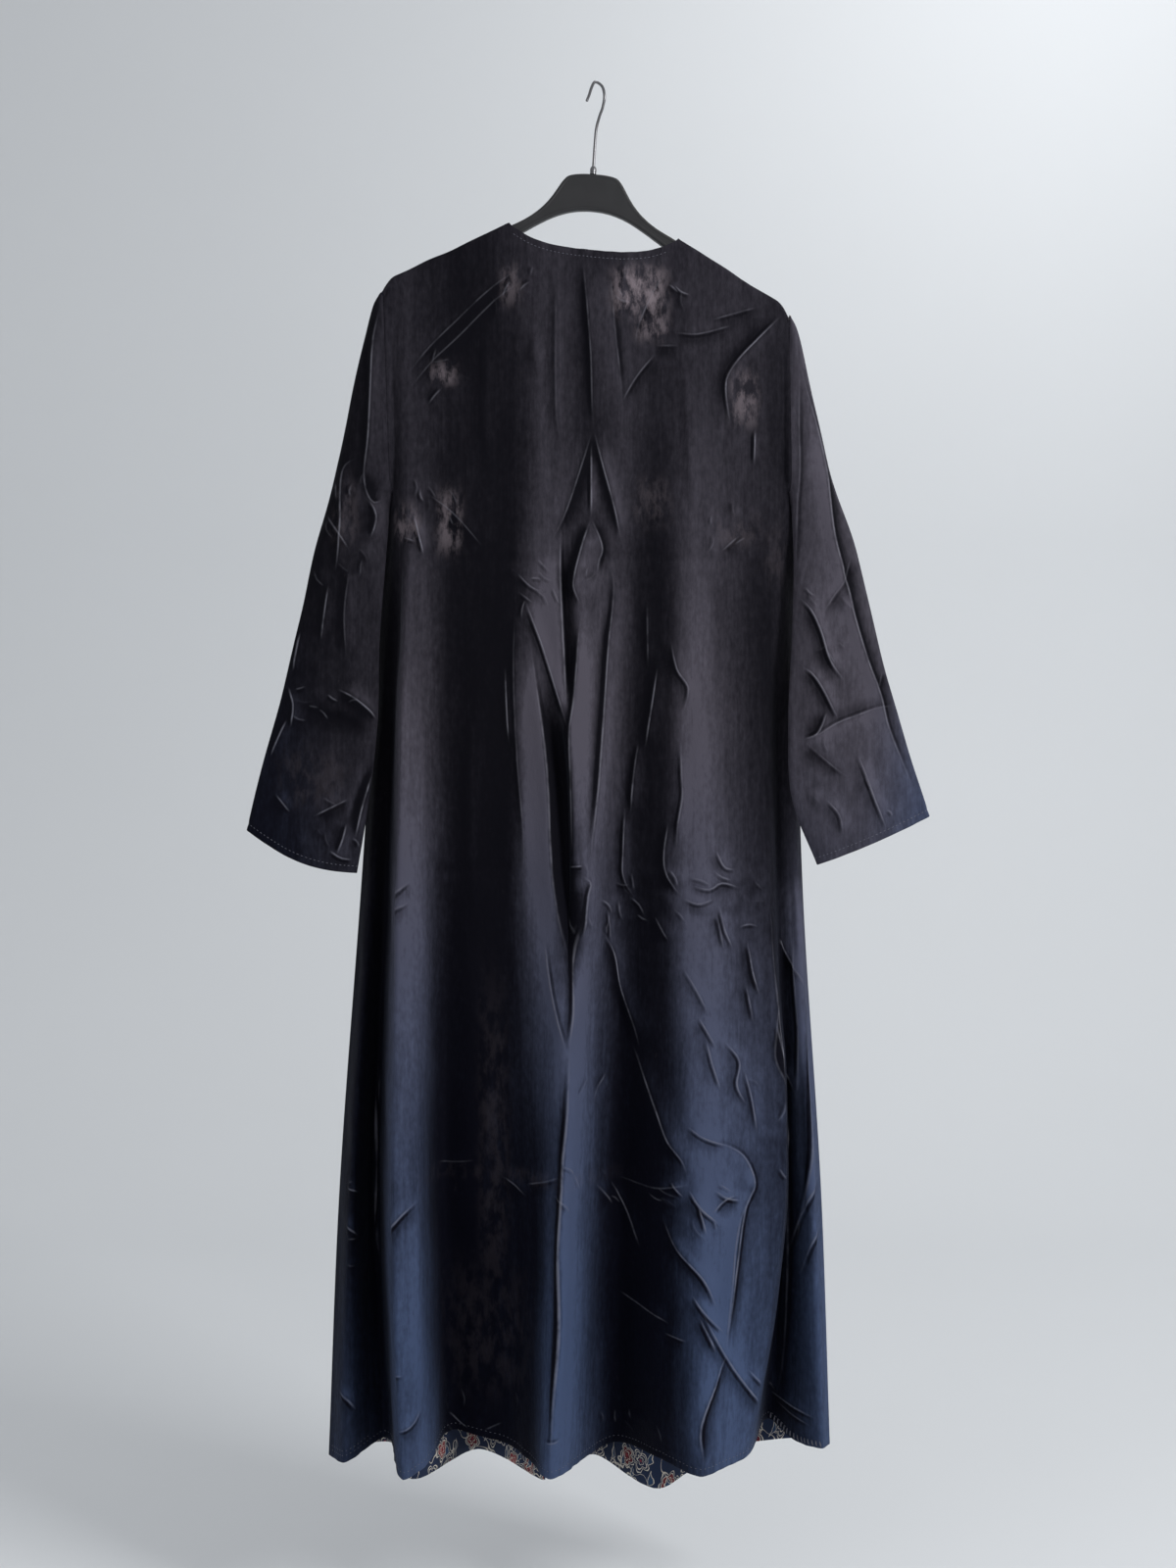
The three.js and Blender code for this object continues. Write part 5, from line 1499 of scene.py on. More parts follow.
def velvet_finish(look):
    """Silk pile: darker where shade is painted, lighter where light is painted, frosted where it is
    crushed.
    """
    f = Finish("silk_velvet")
    place = f.node("ShaderNodeTexCoord").outputs["Object"]
    across = f.node("ShaderNodeSeparateXYZ")
    f.link(place, across.inputs[0])
    cuffs = f.ramp(f.maths("ABSOLUTE", across.outputs[0]), CUFFS_FROM, CUFFS_FULL)
    height = f.maths("MULTIPLY_ADD", cuffs, CUFFS_BLUER, f.mark("height"))
    low = f.ramp(height, NAVY_FROM, NAVY_FULL)
    # Painted shade and painted light: a shaded and a lit copy of the velvet's colour, each from warm
    # black at the top to navy at the hem.
    painted_shade_colour = f.mix(low, opaque(look.painted_shade_top), opaque(look.painted_shade_hem))
    painted_light_colour = f.mix(low, opaque(look.painted_light_top), opaque(look.painted_light_hem))

    glint_line, shadow = crease_lines(f, place)
    # lean carries the painted light and shade of the lit mark, with the pile's random unevenness
    # added; the painted shadow beside each crease darkens it and the painted highlight line lightens
    # it.
    lean = f.mark("lit")
    for size in PILE_UNEVENNESS:
        noise = f.noise(f.stretched(place, *size.often), 1.0, size.detail, size.rough)
        lean = f.maths("MULTIPLY_ADD", f.maths("SUBTRACT", noise, 0.5), size.weight, lean)
    lean = f.maths("MULTIPLY_ADD", shadow, PAINTED_SHADOW_WEIGHT, lean)
    lean = f.maths("MULTIPLY_ADD", glint_line, GLINT_LINE_WEIGHT, lean)
    lean = f.maths("MINIMUM", f.maths("MAXIMUM", lean, 0.0), PAINTED_LIGHT_MOST)
    colour = f.mix(f.maths("POWER", lean, PAINTED_LIGHT_POWER), painted_shade_colour, painted_light_colour)

    flecks = f.noise(f.stretched(place, 210, 210, 95), 1.0, 5, 0.7)
    flecks = f.ramp(flecks, 0.6, 0.78)
    sparse = f.ramp(f.noise(f.stretched(place, 22, 22, 9), 1.0, 4, 0.6), 0.5, 0.75)
    scatter = f.maths("MULTIPLY", f.maths("MULTIPLY", flecks, sparse), look.crush * 0.22)
    smears = f.noise(f.stretched(place, 95, 95, 42), 1.0, 5, 0.65)
    patch = f.maths("MULTIPLY", f.mark("crush"), f.ramp(smears, 0.4, 0.62))
    rubbed = f.maths("MAXIMUM", scatter, f.maths("MULTIPLY", patch, look.crush))
    colour = f.mix(rubbed, colour, opaque(look.crushed))
    # The painted highlight line along each sharp crease, in its own colour.
    colour = f.mix(f.maths("MULTIPLY", glint_line, 0.8), colour, opaque(look.glint_line))

    pile = f.noise(place, 2600, 2, 0.6)
    crumple = f.noise(f.stretched(place, 55, 55, 30), 1.0, 4, 0.6)
    wrinkles = f.noise(f.stretched(place, 150, 150, 95), 1.0, 3, 0.55)
    deeper = f.maths("MULTIPLY_ADD", f.mark("crush"), smears, crumple)
    deeper = f.maths("MULTIPLY_ADD", wrinkles, 0.35, deeper)
    gathers = f.node("ShaderNodeTexWave", bands_direction="X")
    f.link(f.node("ShaderNodeUVMap", uv_map="flat").outputs["UV"], gathers.inputs["Vector"])
    gathers.inputs["Scale"].default_value = 72
    gathers.inputs["Distortion"].default_value = 1.5
    deeper = f.maths("MULTIPLY_ADD", f.maths("MULTIPLY", f.mark("seam"), gathers.outputs["Fac"]),
                     0.3, deeper)
    normal = f.bump(glint_line, 0.8, 0.0012)
    normal = f.bump(deeper, 0.45 * look.crush, 0.004, normal)
    normal = f.bump(pile, 0.5, 0.0005, normal)
    f.set(Base_Color=colour, Roughness=0.8, Normal=normal)
    f.set(Sheen_Weight=look.sheen, Sheen_Roughness=0.35, Sheen_Tint=opaque(look.sheen_tint))
    f.shader.inputs["Specular IOR Level"].default_value = 0.08
    return f.material


PETAL_SIZE = 0.032
LEAF_SIZE = 0.021
THREADS_OFTEN = 420


def cotton_finish(look):
    """Printed cotton: outlined petals and leaves with thin trailing lines on a dark ground."""
    f = Finish("printed_cotton")
    flat = f.node("ShaderNodeUVMap", uv_map="flat").outputs["UV"]
    sway = f.node("ShaderNodeTexNoise", noise_dimensions="2D")
    f.link(flat, sway.inputs["Vector"])
    sway.inputs["Scale"].default_value = 60
    shift = f.node("ShaderNodeVectorMath", operation="MULTIPLY_ADD")
    f.link(sway.outputs["Color"], shift.inputs[0])
    shift.inputs[1].default_value = (0.008, 0.008, 0)
    f.link(flat, shift.inputs[2])
    place = shift.outputs[0]

    def motif(turn, move, size):
        """Distance from the nearest motif's middle, its angle and its own random number."""
        mapping = f.node("ShaderNodeMapping")
        f.link(place, mapping.inputs["Vector"])
        mapping.inputs["Rotation"].default_value = (0, 0, turn)
        mapping.inputs["Location"].default_value = (move, move * 0.6, 0)
        cells = f.node("ShaderNodeTexVoronoi", voronoi_dimensions="2D")
        f.link(mapping.outputs[0], cells.inputs["Vector"])
        cells.inputs["Scale"].default_value = 1 / size
        cells.inputs["Randomness"].default_value = 0.7
        away = f.node("ShaderNodeVectorMath", operation="SUBTRACT")
        f.link(mapping.outputs[0], away.inputs[0])
        f.link(cells.outputs["Position"], away.inputs[1])
        scaled = f.node("ShaderNodeVectorMath", operation="SCALE")
        f.link(away.outputs[0], scaled.inputs[0])
        scaled.inputs["Scale"].default_value = 1 / size
        parts = f.node("ShaderNodeSeparateXYZ")
        f.link(scaled.outputs[0], parts.inputs[0])
        chance = f.node("ShaderNodeSeparateColor")
        f.link(cells.outputs["Color"], chance.inputs[0])
        return parts.outputs[0], parts.outputs[1], chance.outputs

    def line(value, middle, half):
        return f.ramp(f.maths("ABSOLUTE", f.maths("SUBTRACT", value, middle)), half, half * 0.4)

    def inside(value, edge):
        return f.ramp(value, edge + 0.02, edge - 0.02)

    ground = f.mix(f.noise(f.stretched(flat, 1, 1, 1), 9, 3), opaque(look.ground),
                   opaque(look.ground_light))
    colour = ground
    x, y, chance = motif(0.4, 0.0, PETAL_SIZE)
    angle = f.maths("ARCTAN2", y, x)
    far = f.maths("SQRT", f.maths("ADD", f.maths("MULTIPLY", x, x), f.maths("MULTIPLY", y, y)))
    lobes = f.maths("ABSOLUTE", f.maths("COSINE", f.maths("MULTIPLY", angle, 2.5)))
    rim = f.maths("DIVIDE", far, f.maths("MULTIPLY_ADD", lobes, 0.16, 0.24))
    red = f.mix(chance[1], opaque(look.red), opaque(look.coral))
    fill = f.mix(f.ramp(chance[0], 0.45, 0.5), ground, red)
    colour = f.mix(inside(rim, 0.98), colour, ground)
    colour = f.mix(inside(rim, 0.74), colour, fill)
    for ring, half in ((1.0, 0.062), (0.76, 0.05), (0.4, 0.05)):
        colour = f.mix(line(rim, ring, half), colour, opaque(look.cream))
    colour = f.mix(inside(far, 0.05), colour, opaque(look.coral))

    x, y, chance = motif(1.9, 0.37, LEAF_SIZE)
    bend = f.maths("ADD", y, f.maths("MULTIPLY", f.maths("MULTIPLY", x, x), 0.9))
    leaf = f.maths("ADD", f.maths("MULTIPLY", f.maths("ABSOLUTE", x), 2.1),
                   f.maths("MULTIPLY", f.maths("ABSOLUTE", bend), 5.5))
    shown = f.ramp(chance[2], 0.48, 0.5)
    colour = f.mix(f.maths("MULTIPLY", inside(leaf, 0.8), shown), colour, opaque(look.leaf))
    colour = f.mix(f.maths("MULTIPLY", line(leaf, 0.85, 0.11), shown), colour, opaque(look.cream))

    trail = f.noise(f.stretched(flat, 38, 38, 38), 1.0, 1, 0.4)
    colour = f.mix(f.maths("MULTIPLY", line(trail, 0.5, 0.008), 0.9), colour, opaque(look.cream))

    weave = []
    for direction in ("X", "Y"):
        wave = f.node("ShaderNodeTexWave", bands_direction=direction)
        f.link(flat, wave.inputs["Vector"])
        wave.inputs["Scale"].default_value = THREADS_OFTEN
        weave.append(wave.outputs["Fac"])
    threads = f.maths("ADD", *weave)
    colour = f.mix(f.maths("MULTIPLY", threads, 0.12), colour, opaque(look.ground))
    f.set(Base_Color=colour, Roughness=0.85, Normal=f.bump(threads, 0.25, 0.0003))
    f.shader.inputs["Specular IOR Level"].default_value = 0.25
    return f.material


def thread_finish():
    f = Finish("sewing_thread")
    place = f.node("ShaderNodeTexCoord").outputs["Object"]
    twist = f.noise(f.stretched(place, 1500, 1500, 600), 1.0, 2)
    colour = f.mix(twist, (0.03, 0.032, 0.048, 1), (0.13, 0.13, 0.165, 1))
    f.set(Base_Color=colour, Roughness=0.55, Normal=f.bump(twist, 0.3, 0.0002))
    return f.material


def plastic_finish():
    f = Finish("hanger_plastic")
    place = f.node("ShaderNodeTexCoord").outputs["Object"]
    cloud = f.noise(place, 45, 4)
    colour = f.mix(cloud, (0.008, 0.008, 0.009, 1), (0.018, 0.018, 0.02, 1))
    scuffs = f.noise(f.stretched(place, 500, 60, 60), 1.0, 3)
    rough = f.maths("MULTIPLY_ADD", scuffs, 0.2, 0.32)
    f.set(Base_Color=colour, Roughness=rough, Normal=f.bump(f.noise(place, 900, 2), 0.12, 0.0004))
    return f.material


def steel_finish():
    f = Finish("hook_steel")
    place = f.node("ShaderNodeTexCoord").outputs["Object"]
    drawn = f.noise(f.stretched(place, 800, 800, 25), 1.0, 3)
    colour = f.mix(drawn, (0.1, 0.1, 0.105, 1), (0.24, 0.24, 0.25, 1))
    rough = f.maths("MULTIPLY_ADD", drawn, 0.2, 0.25)
    f.set(Base_Color=colour, Roughness=rough, Metallic=0.95)
    return f.material


def studio_finish(name, colour):
    f = Finish(name)
    place = f.node("ShaderNodeTexCoord").outputs["Object"]
    cloud = f.noise(place, 1.2, 3)
    pale = tuple(c * 0.965 for c in colour)
    f.set(Base_Color=f.mix(cloud, opaque(pale), opaque(colour)), Roughness=0.9)
    return f.material


_finishes = {}


def finish_of(name, make, *settings):
    if name not in _finishes:
        _finishes[name] = make(*settings)
    return _finishes[name]


# ---- the hanger -----------------------------------------------------------------------------

CENTRE_TOP = -96
CENTRE_HALF = 27
CENTRE_CORNER = (6, 4)
SWEEP_NEAR = (39, 14)
SWEEP_FAR = (40, 40)
ARCH_TOP = -134.5
ARCH_SHOULDER = (52, 16)
ARCH_CROWN = 34
TIP_ROUND = 9
TIP_RISE = 5
TIP_SOFTEN = 2
# Steps along the outline's stretches.
CENTRE_STEPS = 10
SWEEP_STEPS = 22
ARM_STEPS = 24
TIP_STEPS = 8
ARCH_STEPS = 32
# The rounded edge and, inside it, the shallow channel along each face.
EDGE_RINGS = 6
CHANNEL_RIM = 0.8
CHANNEL_FOOT = 1.3
CHANNEL_DEPTH = 0.5
MOULDING_SHARP = math.radians(50)
FERRULE_SHARP = math.radians(40)
FERRULE_SIDES = 40
FERRULE_BEVEL = 0.4
FERRULE_GROOVE = (1.6, 2.0, 2.6, 3.0)
FERRULE_GROOVE_DEPTH = 0.35
FERRULE_BORE_EDGE = (0.2, 0.3)
HOOK_STEPS = 110
HOOK_SIDES = 20
DOME_ANGLES = (0.5, 1.0, 1.35)
FERRULE_HEIGHT = 8
FERRULE_RADIUS = 3.4
FERRULE_TAPER = 2
FERRULE_LIP = 0.8
HOOK_ROUTE = [
    (0, CENTRE_TOP + SEAM_GAP), (0, -62), (1, -46), (6, -32), (12, -20), (14.5, -8),
    (10, 0), (0, WIRE_DIAMETER / 2), (-10, -1), (-16, -9), (-20, -18), (-24, -25),
]


def bezier(points, count):
    """A Bezier curve of any degree, without its first point."""
    points = np.array(points, float)
    t = np.linspace(0, 1, count + 1)[1:, None]
    order = len(points) - 1
    return sum(math.comb(order, k) * (1 - t) ** (order - k) * t ** k * points[k]
               for k in range(order + 1))


def arm_top(x):
    return ARM_TOP_AT_NECK - (x - NECK_REACH) * ARM_SLOPE


def hanger_outline():
    """The outline's right half, from the centre's top round to the arch's crown, and its left."""
    tip = ARM_REACH - ARM_END_MARGIN
    tip_start = tip - TIP_ROUND
    tip_bottom = arm_top(tip) - ARM_HEIGHT + TIP_RISE
    corner = (CENTRE_HALF, CENTRE_TOP - CENTRE_CORNER[1])
    neck = (NECK_REACH, ARM_TOP_AT_NECK)
    under_tip = (tip_start, arm_top(tip_start) - ARM_HEIGHT)
    under_neck = (NECK_REACH, ARM_TOP_AT_NECK - ARM_HEIGHT)
    half = np.concatenate([
        [(0, CENTRE_TOP)],
        bezier([(0, CENTRE_TOP), (CENTRE_HALF - CENTRE_CORNER[0], CENTRE_TOP), corner],
               CENTRE_STEPS),
        bezier([corner, (SWEEP_NEAR[0], CENTRE_TOP - SWEEP_NEAR[1]),
                (SWEEP_FAR[0], CENTRE_TOP - SWEEP_FAR[1]), neck], SWEEP_STEPS),
        bezier([neck, (tip_start, arm_top(tip_start))], ARM_STEPS),
        bezier([(tip_start, arm_top(tip_start)), (tip, arm_top(tip - TIP_SOFTEN)),
                (tip, tip_bottom)], TIP_STEPS),
        bezier([(tip, tip_bottom), (tip - TIP_SOFTEN, tip_bottom - TIP_RISE), under_tip],
               TIP_STEPS),
        bezier([under_tip, under_neck], ARM_STEPS),
        bezier([under_neck, (ARCH_SHOULDER[0], ARCH_TOP - ARCH_SHOULDER[1]),
                (ARCH_CROWN, ARCH_TOP), (0, ARCH_TOP)], ARCH_STEPS),
    ])
    left = half[-2:0:-1] * (-1, 1)
    return np.concatenate([half, left])


def hanger_ladder(count):
    """Faces across the flat of the body, from its upper edge to its lower edge."""
    half = count // 2
    upper = [i % count for i in range(-(half // 2), half // 2 + 1)]
    lower = [(half - i) % count for i in range(-(half // 2), half // 2 + 1)]
    faces = []
    for k in range(len(upper) - 1):
        face = [upper[k], upper[k + 1], lower[k + 1], lower[k]]
        faces.append(list(dict.fromkeys(face)))
    return faces


def hung(points):
    """Points of the hanger's upright frame, turned with its tilt."""
    x, z = tilted(points[:, 0], points[:, 2])
    return np.stack([x, points[:, 1], z], axis=1)


def hanger_mesh():
    """The moulded body: two rounded faces, with a shallow channel along the middle of each."""
    outline = hanger_outline()
    before, after = np.roll(outline, 1, axis=0), np.roll(outline, -1, axis=0)
    along = after - before
    along /= np.linalg.norm(along, axis=1, keepdims=True)
    inward = np.stack([along[:, 1], -along[:, 0]], axis=1)
    half = HANGER_THICKNESS / 2
    rings = []
    for angle in np.linspace(0, math.pi / 2, EDGE_RINGS):
        inset = HANGER_EDGE_ROUND * (1 - math.cos(angle))
        rings.append((inset, half - HANGER_EDGE_ROUND * (1 - math.sin(angle))))
    rings.append((HANGER_EDGE_ROUND + CHANNEL_RIM, half))
    rings.append((HANGER_EDGE_ROUND + CHANNEL_FOOT, half - CHANNEL_DEPTH))
    layers = [(inset, -depth) for inset, depth in reversed(rings)] + rings
    count = len(outline)
    points = np.concatenate([
        np.stack([outline[:, 0] + inward[:, 0] * inset, np.full(count, depth),
                  outline[:, 1] + inward[:, 1] * inset], axis=1)
        for inset, depth in layers])
    ladder = hanger_ladder(count)
    far = (len(layers) - 1) * count
    faces = ring_faces(len(layers), count) + ladder
    faces += [[far + i for i in reversed(face)] for face in ladder]
    piece = smooth_piece("hanger_moulding", hung(points), faces)
    sharpen(piece, MOULDING_SHARP)
    return piece


def tube(name, path, radius, sides, round_ends):
    """A round wire along a path, with its ends domed where round_ends says."""
    path = np.array(path, float)
    along = np.gradient(path, axis=0)
    along /= np.linalg.norm(along, axis=1, keepdims=True)
    across = np.cross(along, (0.0, 1.0, 0.0))
    weak = np.linalg.norm(across, axis=1) < 0.1
    across[weak] = np.cross(along[weak], (1.0, 0.0, 0.0))
    across /= np.linalg.norm(across, axis=1, keepdims=True)
    up = np.cross(across, along)
    radii = np.full(len(path), radius, float)
    rings = [(path[k], across[k], up[k], radii[k]) for k in range(len(path))]
    for end, way in ((0, -1), (-1, 1)):
        if not round_ends[end]:
            continue
        dome = [(path[end] + way * along[end] * radius * math.sin(a), across[end], up[end],
                 radius * math.cos(a)) for a in DOME_ANGLES]
        rings = list(reversed(dome)) + rings if end == 0 else rings + dome
    turn = np.linspace(0, 2 * math.pi, sides, endpoint=False)
    points = np.concatenate([
        centre + r * (np.cos(turn)[:, None] * a + np.sin(turn)[:, None] * b)
        for centre, a, b, r in rings])
    faces = ring_faces(len(rings), sides)
    faces.append(list(reversed(range(sides))))
    faces.append([(len(rings) - 1) * sides + i for i in range(sides)])
    return smooth_piece(name, points, faces)


def hook_path():
    route = np.array(HOOK_ROUTE, float)
    reach = np.concatenate([[0], np.cumsum(np.sqrt(np.hypot(*np.diff(route, axis=0).T)))])
    at = np.linspace(0, reach[-1], HOOK_STEPS)
    out, height = curve_through(reach, route.T, at[None, :])
    turned = np.stack([out * math.cos(HOOK_TURN), out * math.sin(HOOK_TURN), height], axis=1)
    return hung(turned)


def ferrule_mesh():
    bore = WIRE_DIAMETER / 2 + SEAM_GAP
    base = CENTRE_TOP + SEAM_GAP
    top = base + FERRULE_HEIGHT
    groove = [base + height for height in FERRULE_GROOVE]
    floor = FERRULE_RADIUS - FERRULE_GROOVE_DEPTH
    profile = [
        (bore, base), (FERRULE_RADIUS - FERRULE_BEVEL, base),
        (FERRULE_RADIUS, base + FERRULE_BEVEL), (FERRULE_RADIUS, groove[0]),
        (floor, groove[1]), (floor, groove[2]), (FERRULE_RADIUS, groove[3]),
        (FERRULE_RADIUS, top - FERRULE_TAPER), (bore + FERRULE_LIP, top),
        (bore + FERRULE_BORE_EDGE[0], top), (bore, top - FERRULE_BORE_EDGE[1]),
    ]
    sides = FERRULE_SIDES
    turn = np.linspace(0, 2 * math.pi, sides, endpoint=False)
    points = np.concatenate([np.stack([r * np.cos(turn), r * np.sin(turn),
                                       np.full(sides, z)], axis=1) for r, z in profile])
    last = (len(profile) - 1) * sides
    faces = ring_faces(len(profile), sides)
    faces += [[last + i, last + (i + 1) % sides, (i + 1) % sides, i] for i in range(sides)]
    piece = smooth_piece("ferrule", hung(points), faces)
    sharpen(piece, FERRULE_SHARP)
    return piece


# ---- settings, operators and panel ----------------------------------------------------------

COLOUR = {"subtype": "COLOR", "size": 3, "min": 0.0, "max": 1.0}


class JacketVelvet(bpy.types.PropertyGroup):
    # A shaded and a lit copy of the velvet's colour, at the shoulders and at the hem: painted shade
    # and painted light.
    painted_shade_top: bpy.props.FloatVectorProperty(
        name="Shaded pile, top", description="Pile leaning away from the light, at the shoulders",
        default=(0.0022, 0.0020, 0.0042), **COLOUR)
    painted_shade_hem: bpy.props.FloatVectorProperty(
        name="Shaded pile, hem", description="Pile leaning away from the light, at the hem",
        default=(0.0010, 0.0013, 0.0056), **COLOUR)
    painted_light_top: bpy.props.FloatVectorProperty(
        name="Lit pile, top", description="Pile leaning to the light, at the shoulders",
        default=(0.071, 0.065, 0.083), **COLOUR)
    painted_light_hem: bpy.props.FloatVectorProperty(
        name="Lit pile, hem", description="Pile leaning to the light, at the hem",
        default=(0.050, 0.073, 0.142), **COLOUR)
    crushed: bpy.props.FloatVectorProperty(
        name="Crushed pile", description="Patches of crushed pile",
        default=(0.18, 0.150, 0.167), **COLOUR)
    # The colour of the painted highlight line along a sharp crease.
    glint_line: bpy.props.FloatVectorProperty(
        name="Worn creases", description="The thin rubbed line along a sharp crease",
        default=(0.17, 0.17, 0.2), **COLOUR)
    sheen_tint: bpy.props.FloatVectorProperty(
        name="Sheen tint", description="Colour of the sheen at grazing angles",
        default=(0.45, 0.5, 0.65), **COLOUR)
    sheen: bpy.props.FloatProperty(
        name="Sheen", description="Strength of the pile's sheen", default=0.06,
        min=0.0, max=1.0, subtype="FACTOR")
    crush: bpy.props.FloatProperty(
        name="Crush", description="How crushed the pile is", default=0.6,
        min=0.0, max=1.0, subtype="FACTOR")
    creases: bpy.props.FloatProperty(
        name="Creases", description="Height of the pressed creases, as a share of their own",
        default=1.0, min=0.0, max=1.5, subtype="FACTOR")


class JacketCotton(bpy.types.PropertyGroup):
    ground: bpy.props.FloatVectorProperty(
        name="Ground", description="The print's ground", default=(0.004, 0.006, 0.016), **COLOUR)
    ground_light: bpy.props.FloatVectorProperty(
        name="Lighter ground", description="Where the ground is paler",
        default=(0.018, 0.034, 0.085), **COLOUR)
    cream: bpy.props.FloatVectorProperty(
        name="Outlines", description="Outlines of petals and leaves",
        default=(0.66, 0.61, 0.53), **COLOUR)
    red: bpy.props.FloatVectorProperty(
        name="Dark petals", description="Fill of the darker petals",
        default=(0.085, 0.008, 0.016), **COLOUR)
    coral: bpy.props.FloatVectorProperty(
        name="Light petals", description="Fill of the lighter petals",
        default=(0.27, 0.035, 0.045), **COLOUR)
    leaf: bpy.props.FloatVectorProperty(
        name="Leaves", description="Fill of the leaves", default=(0.02, 0.05, 0.11), **COLOUR)


class JacketStudio(bpy.types.PropertyGroup):
    distance: bpy.props.FloatProperty(
        name="Camera distance", description="From the jacket's back to the camera",
        default=2.0, min=0.5, max=10.0, unit="LENGTH")
    view_height: bpy.props.FloatProperty(
        name="View height", description="Height that the view takes in at the jacket",
        default=1.664, min=0.1, max=5.0, unit="LENGTH")
    wall: bpy.props.FloatVectorProperty(
        name="Backdrop", description="Colour of the floor and the backdrop",
        default=(0.70, 0.72, 0.74), **COLOUR)
    key: bpy.props.FloatProperty(
        name="Key light", description="Power of the light from the right", default=62.0,
        min=0.0, max=1000.0, unit="POWER")
    fill: bpy.props.FloatProperty(
        name="Fill light", description="Power of the light from the left", default=9.0,
        min=0.0, max=1000.0, unit="POWER")
    backdrop_light: bpy.props.FloatProperty(
        name="Backdrop light", description="Power of the light on the backdrop", default=34.0,
        min=0.0, max=1000.0, unit="POWER")
    surround: bpy.props.FloatProperty(
        name="Surround", description="Strength of the light all round", default=0.5,
        min=0.0, max=5.0, subtype="FACTOR")


def dress(piece, slot, finish, *nodes):
    """The piece takes its finish, rides on the one body and stands for its solids."""
    piece.data.materials.append(finish)
    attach(piece, "root")
    if nodes:
        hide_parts(*nodes)
    return piece


# A cloth piece's cut: the width and length that it is cut from, and the share of that
# which it takes up. No piece is given a cut here.
Cut = namedtuple("Cut", "width length share")


# Each sleeve is two solids, which its one sheet stands for.
SOLIDS = {
    "sleeve_left": ["sleeve_left_back", "sleeve_left_front"],
    "sleeve_right": ["sleeve_right_back", "sleeve_right_front"],
}


def sew(names):
    """Makes the velvet and the cotton of each named cloth piece."""
    scene = bpy.context.scene
    strength = scene.jacket_velvet.creases
    velvet = finish_of("velvet", velvet_finish, scene.jacket_velvet)
    cotton = finish_of("cotton", cotton_finish, scene.jacket_cotton)
    for name in names:
        solids = SOLIDS.get(name, [name])
        linings = [f"lining_{solid}" for solid in solids]
        shell = dress(velvet_sheet(name, strength), "silk_velvet", velvet, *solids)
        inside = dress(cotton_sheet(name, strength), "printed_cotton", cotton, *linings)
        thread = finish_of("thread", thread_finish)
        sewn = [dress(stitches(row, strength), "silk_velvet", thread)
                for row in STITCHINGS if row.cloth == name]


class JACKET_OT_hanger(bpy.types.Operator):
    """Makes the moulded clothes hanger"""

    bl_idname = "jacket.hanger"
    bl_label = "Hanger"

    def execute(self, context):
        finish = finish_of("plastic", plastic_finish)
        dress(hanger_mesh(), "hanger_plastic", finish, "hanger_body")
        return {"FINISHED"}


class JACKET_OT_hook(bpy.types.Operator):
    """Makes the hanger's wire hook and its ferrule"""

    bl_idname = "jacket.hook"
    bl_label = "Hook and ferrule"

    def execute(self, context):
        finish = finish_of("steel", steel_finish)
        hook = tube("wire_hook", hook_path(), WIRE_DIAMETER / 2, HOOK_SIDES, (False, True))
        dress(hook, "hook_steel", finish, "hanger_hook")
        dress(ferrule_mesh(), "hook_steel", finish, "hook_ferrule")
        return {"FINISHED"}


class SewStep:
    """Sews the cloth pieces that a step names."""

    sewn = ()

    def execute(self, context):
        sew(self.sewn)
        return {"FINISHED"}


class JACKET_OT_back(SewStep, bpy.types.Operator):
    """Makes the jacket's back, velvet and cotton"""

    bl_idname = "jacket.back"
    bl_label = "Back"
    sewn = ["back"]


class JACKET_OT_fronts(SewStep, bpy.types.Operator):
    """Makes the jacket's two fronts, velvet and cotton"""

    bl_idname = "jacket.fronts"
    bl_label = "Fronts"
    sewn = ["front_left", "front_right"]


class JACKET_OT_sleeves(SewStep, bpy.types.Operator):
    """Makes the jacket's two sleeves, velvet and cotton"""

    bl_idname = "jacket.sleeves"
    bl_label = "Sleeves"
    sewn = ["sleeve_left", "sleeve_right"]


FLOOR_DROP = 0.16
WALL_BACK = 3.2
SWEEP_RADIUS = 1.6
STAGE_HALF = 4.5
STAGE_FRONT = 4.0
BEND_STEPS = 25
SENSOR_WIDTH = 36
# Where the middle of the view lies across and in height, in metres.
VIEW_MIDDLE = (-0.01144, -0.74204)
# Where on the backdrop its own light aims, across and in height.
WALL_AIM = (0.6, -0.5)
SURROUND_COLOUR = (0.95, 0.97, 1.0)


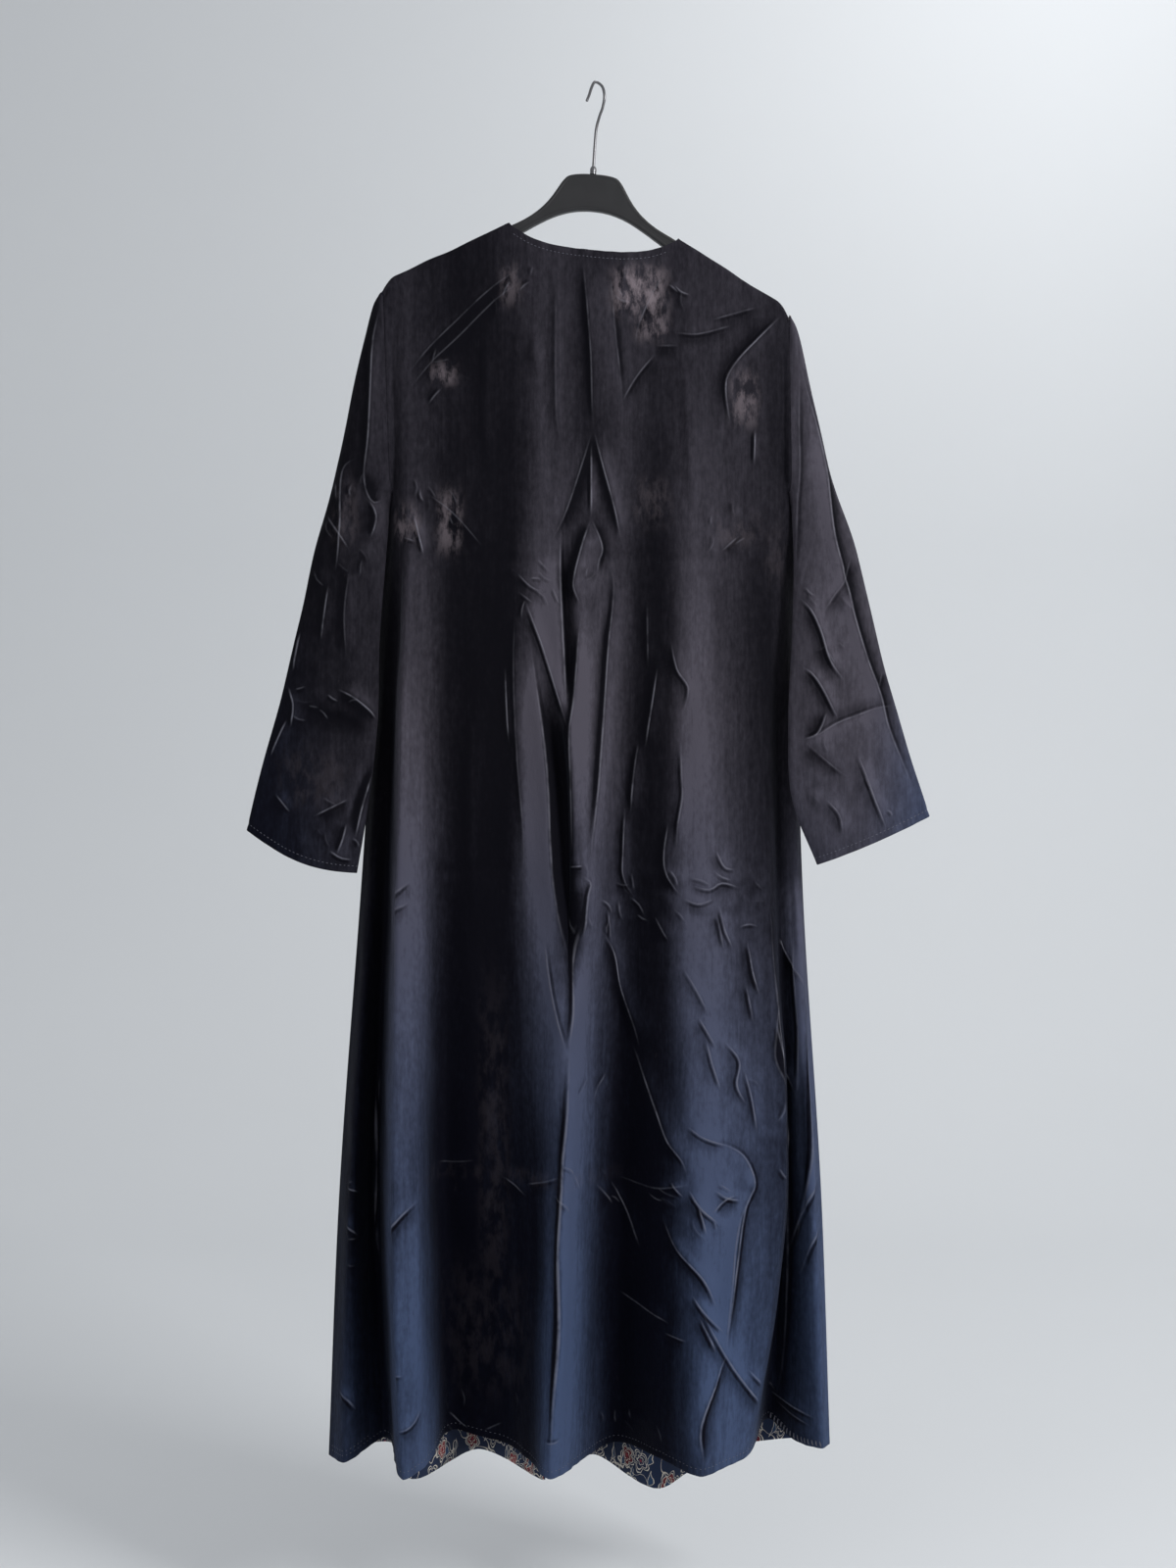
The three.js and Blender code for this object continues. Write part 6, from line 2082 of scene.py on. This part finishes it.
class JACKET_OT_stage(bpy.types.Operator):
    """Makes the floor and backdrop, the lights and the camera"""

    bl_idname = "jacket.stage"
    bl_label = "Stage"

    def execute(self, context):
        scene = context.scene
        look = scene.jacket_studio
        self.make_camera(scene, look)
        self.make_backdrop(look)
        self.make_lights(scene, look)
        scene.view_settings.view_transform = "Standard"
        return {"FINISHED"}

    def make_camera(self, scene, look):
        lens = bpy.data.cameras.new("view")
        lens.sensor_width = SENSOR_WIDTH
        lens.lens = lens.sensor_width * look.distance / look.view_height
        camera = bpy.data.objects.new("view", lens)
        camera.location = (VIEW_MIDDLE[0], -look.distance, VIEW_MIDDLE[1])
        camera.rotation_euler = (math.pi / 2, 0, 0)
        scene.collection.objects.link(camera)
        scene.camera = camera

    def make_backdrop(self, look):
        floor = CAD_LOW.z - FLOOR_DROP
        wall = CAD_HIGH.y + WALL_BACK
        bend = [(wall - SWEEP_RADIUS + SWEEP_RADIUS * math.sin(a),
                 floor + SWEEP_RADIUS * (1 - math.cos(a)))
                for a in np.linspace(0, math.pi / 2, BEND_STEPS)]
        profile = [(-STAGE_FRONT, floor), *bend, (wall, floor + STAGE_FRONT)]
        points = [(side * STAGE_HALF, y, z) for y, z in profile for side in (-1, 1)]
        faces = [(2 * k, 2 * k + 1, 2 * k + 3, 2 * k + 2) for k in range(len(profile) - 1)]
        mesh = bpy.data.meshes.new("backdrop")
        mesh.from_pydata(points, [], faces)
        mesh.shade_smooth()
        mesh.materials.append(finish_of("backdrop", studio_finish, "studio_paper", look.wall))
        backdrop = bpy.data.objects.new("backdrop", mesh)
        bpy.context.scene.collection.objects.link(backdrop)

    def make_lights(self, scene, look):
        jacket = Vector((0, 0, (CAD_LOW.z + CAD_HIGH.z) / 2))
        wall = Vector((WALL_AIM[0], CAD_HIGH.y + WALL_BACK, WALL_AIM[1]))
        for name, place, aim, power, size in (
            ("key", (2.1, -1.7, 0.55), jacket, look.key, 0.9),
            ("fill", (-2.2, -2.0, -0.4), jacket, look.fill, 1.6),
            ("backdrop light", (1.6, 1.5, 2.2), wall, look.backdrop_light, 1.2),
        ):
            lamp = bpy.data.lights.new(name, "AREA")
            lamp.energy = power
            lamp.size = size
            holder = bpy.data.objects.new(name, lamp)
            holder.location = place
            way = aim - Vector(place)
            holder.rotation_euler = way.to_track_quat("-Z", "Y").to_euler()
            scene.collection.objects.link(holder)
        world = bpy.data.worlds.new("surround")
        world.use_nodes = True
        sky = world.node_tree.nodes["Background"]
        sky.inputs["Color"].default_value = opaque(SURROUND_COLOUR)
        sky.inputs["Strength"].default_value = look.surround
        scene.world = world


STEPS = ("stage", "hanger", "hook", "back", "fronts", "sleeves")


class JACKET_PT_steps(bpy.types.Panel):
    """Lists the jacket's pieces"""

    bl_label = "Kimono jacket"
    bl_idname = "JACKET_PT_steps"
    bl_space_type = "VIEW_3D"
    bl_region_type = "UI"
    bl_category = "Jacket"

    def draw(self, context):
        for step in STEPS:
            self.layout.operator(f"jacket.{step}")
        for group in ("jacket_velvet", "jacket_cotton", "jacket_studio"):
            settings = getattr(context.scene, group)
            box = self.layout.box()
            for name in settings.__annotations__:
                box.prop(settings, name)


CLASSES = (
    JacketVelvet, JacketCotton, JacketStudio, JACKET_OT_stage, JACKET_OT_hanger, JACKET_OT_hook,
    JACKET_OT_back, JACKET_OT_fronts, JACKET_OT_sleeves, JACKET_PT_steps,
)


def register():
    for cls in CLASSES:
        bpy.utils.register_class(cls)
    bpy.types.Scene.jacket_velvet = bpy.props.PointerProperty(type=JacketVelvet)
    bpy.types.Scene.jacket_cotton = bpy.props.PointerProperty(type=JacketCotton)
    bpy.types.Scene.jacket_studio = bpy.props.PointerProperty(type=JacketStudio)


def unregister():
    del bpy.types.Scene.jacket_studio
    del bpy.types.Scene.jacket_cotton
    del bpy.types.Scene.jacket_velvet
    for cls in reversed(CLASSES):
        bpy.utils.unregister_class(cls)


def main():
    register()
    for step in STEPS:
        getattr(bpy.ops.jacket, step)()


if __name__ == "__main__":
    main()
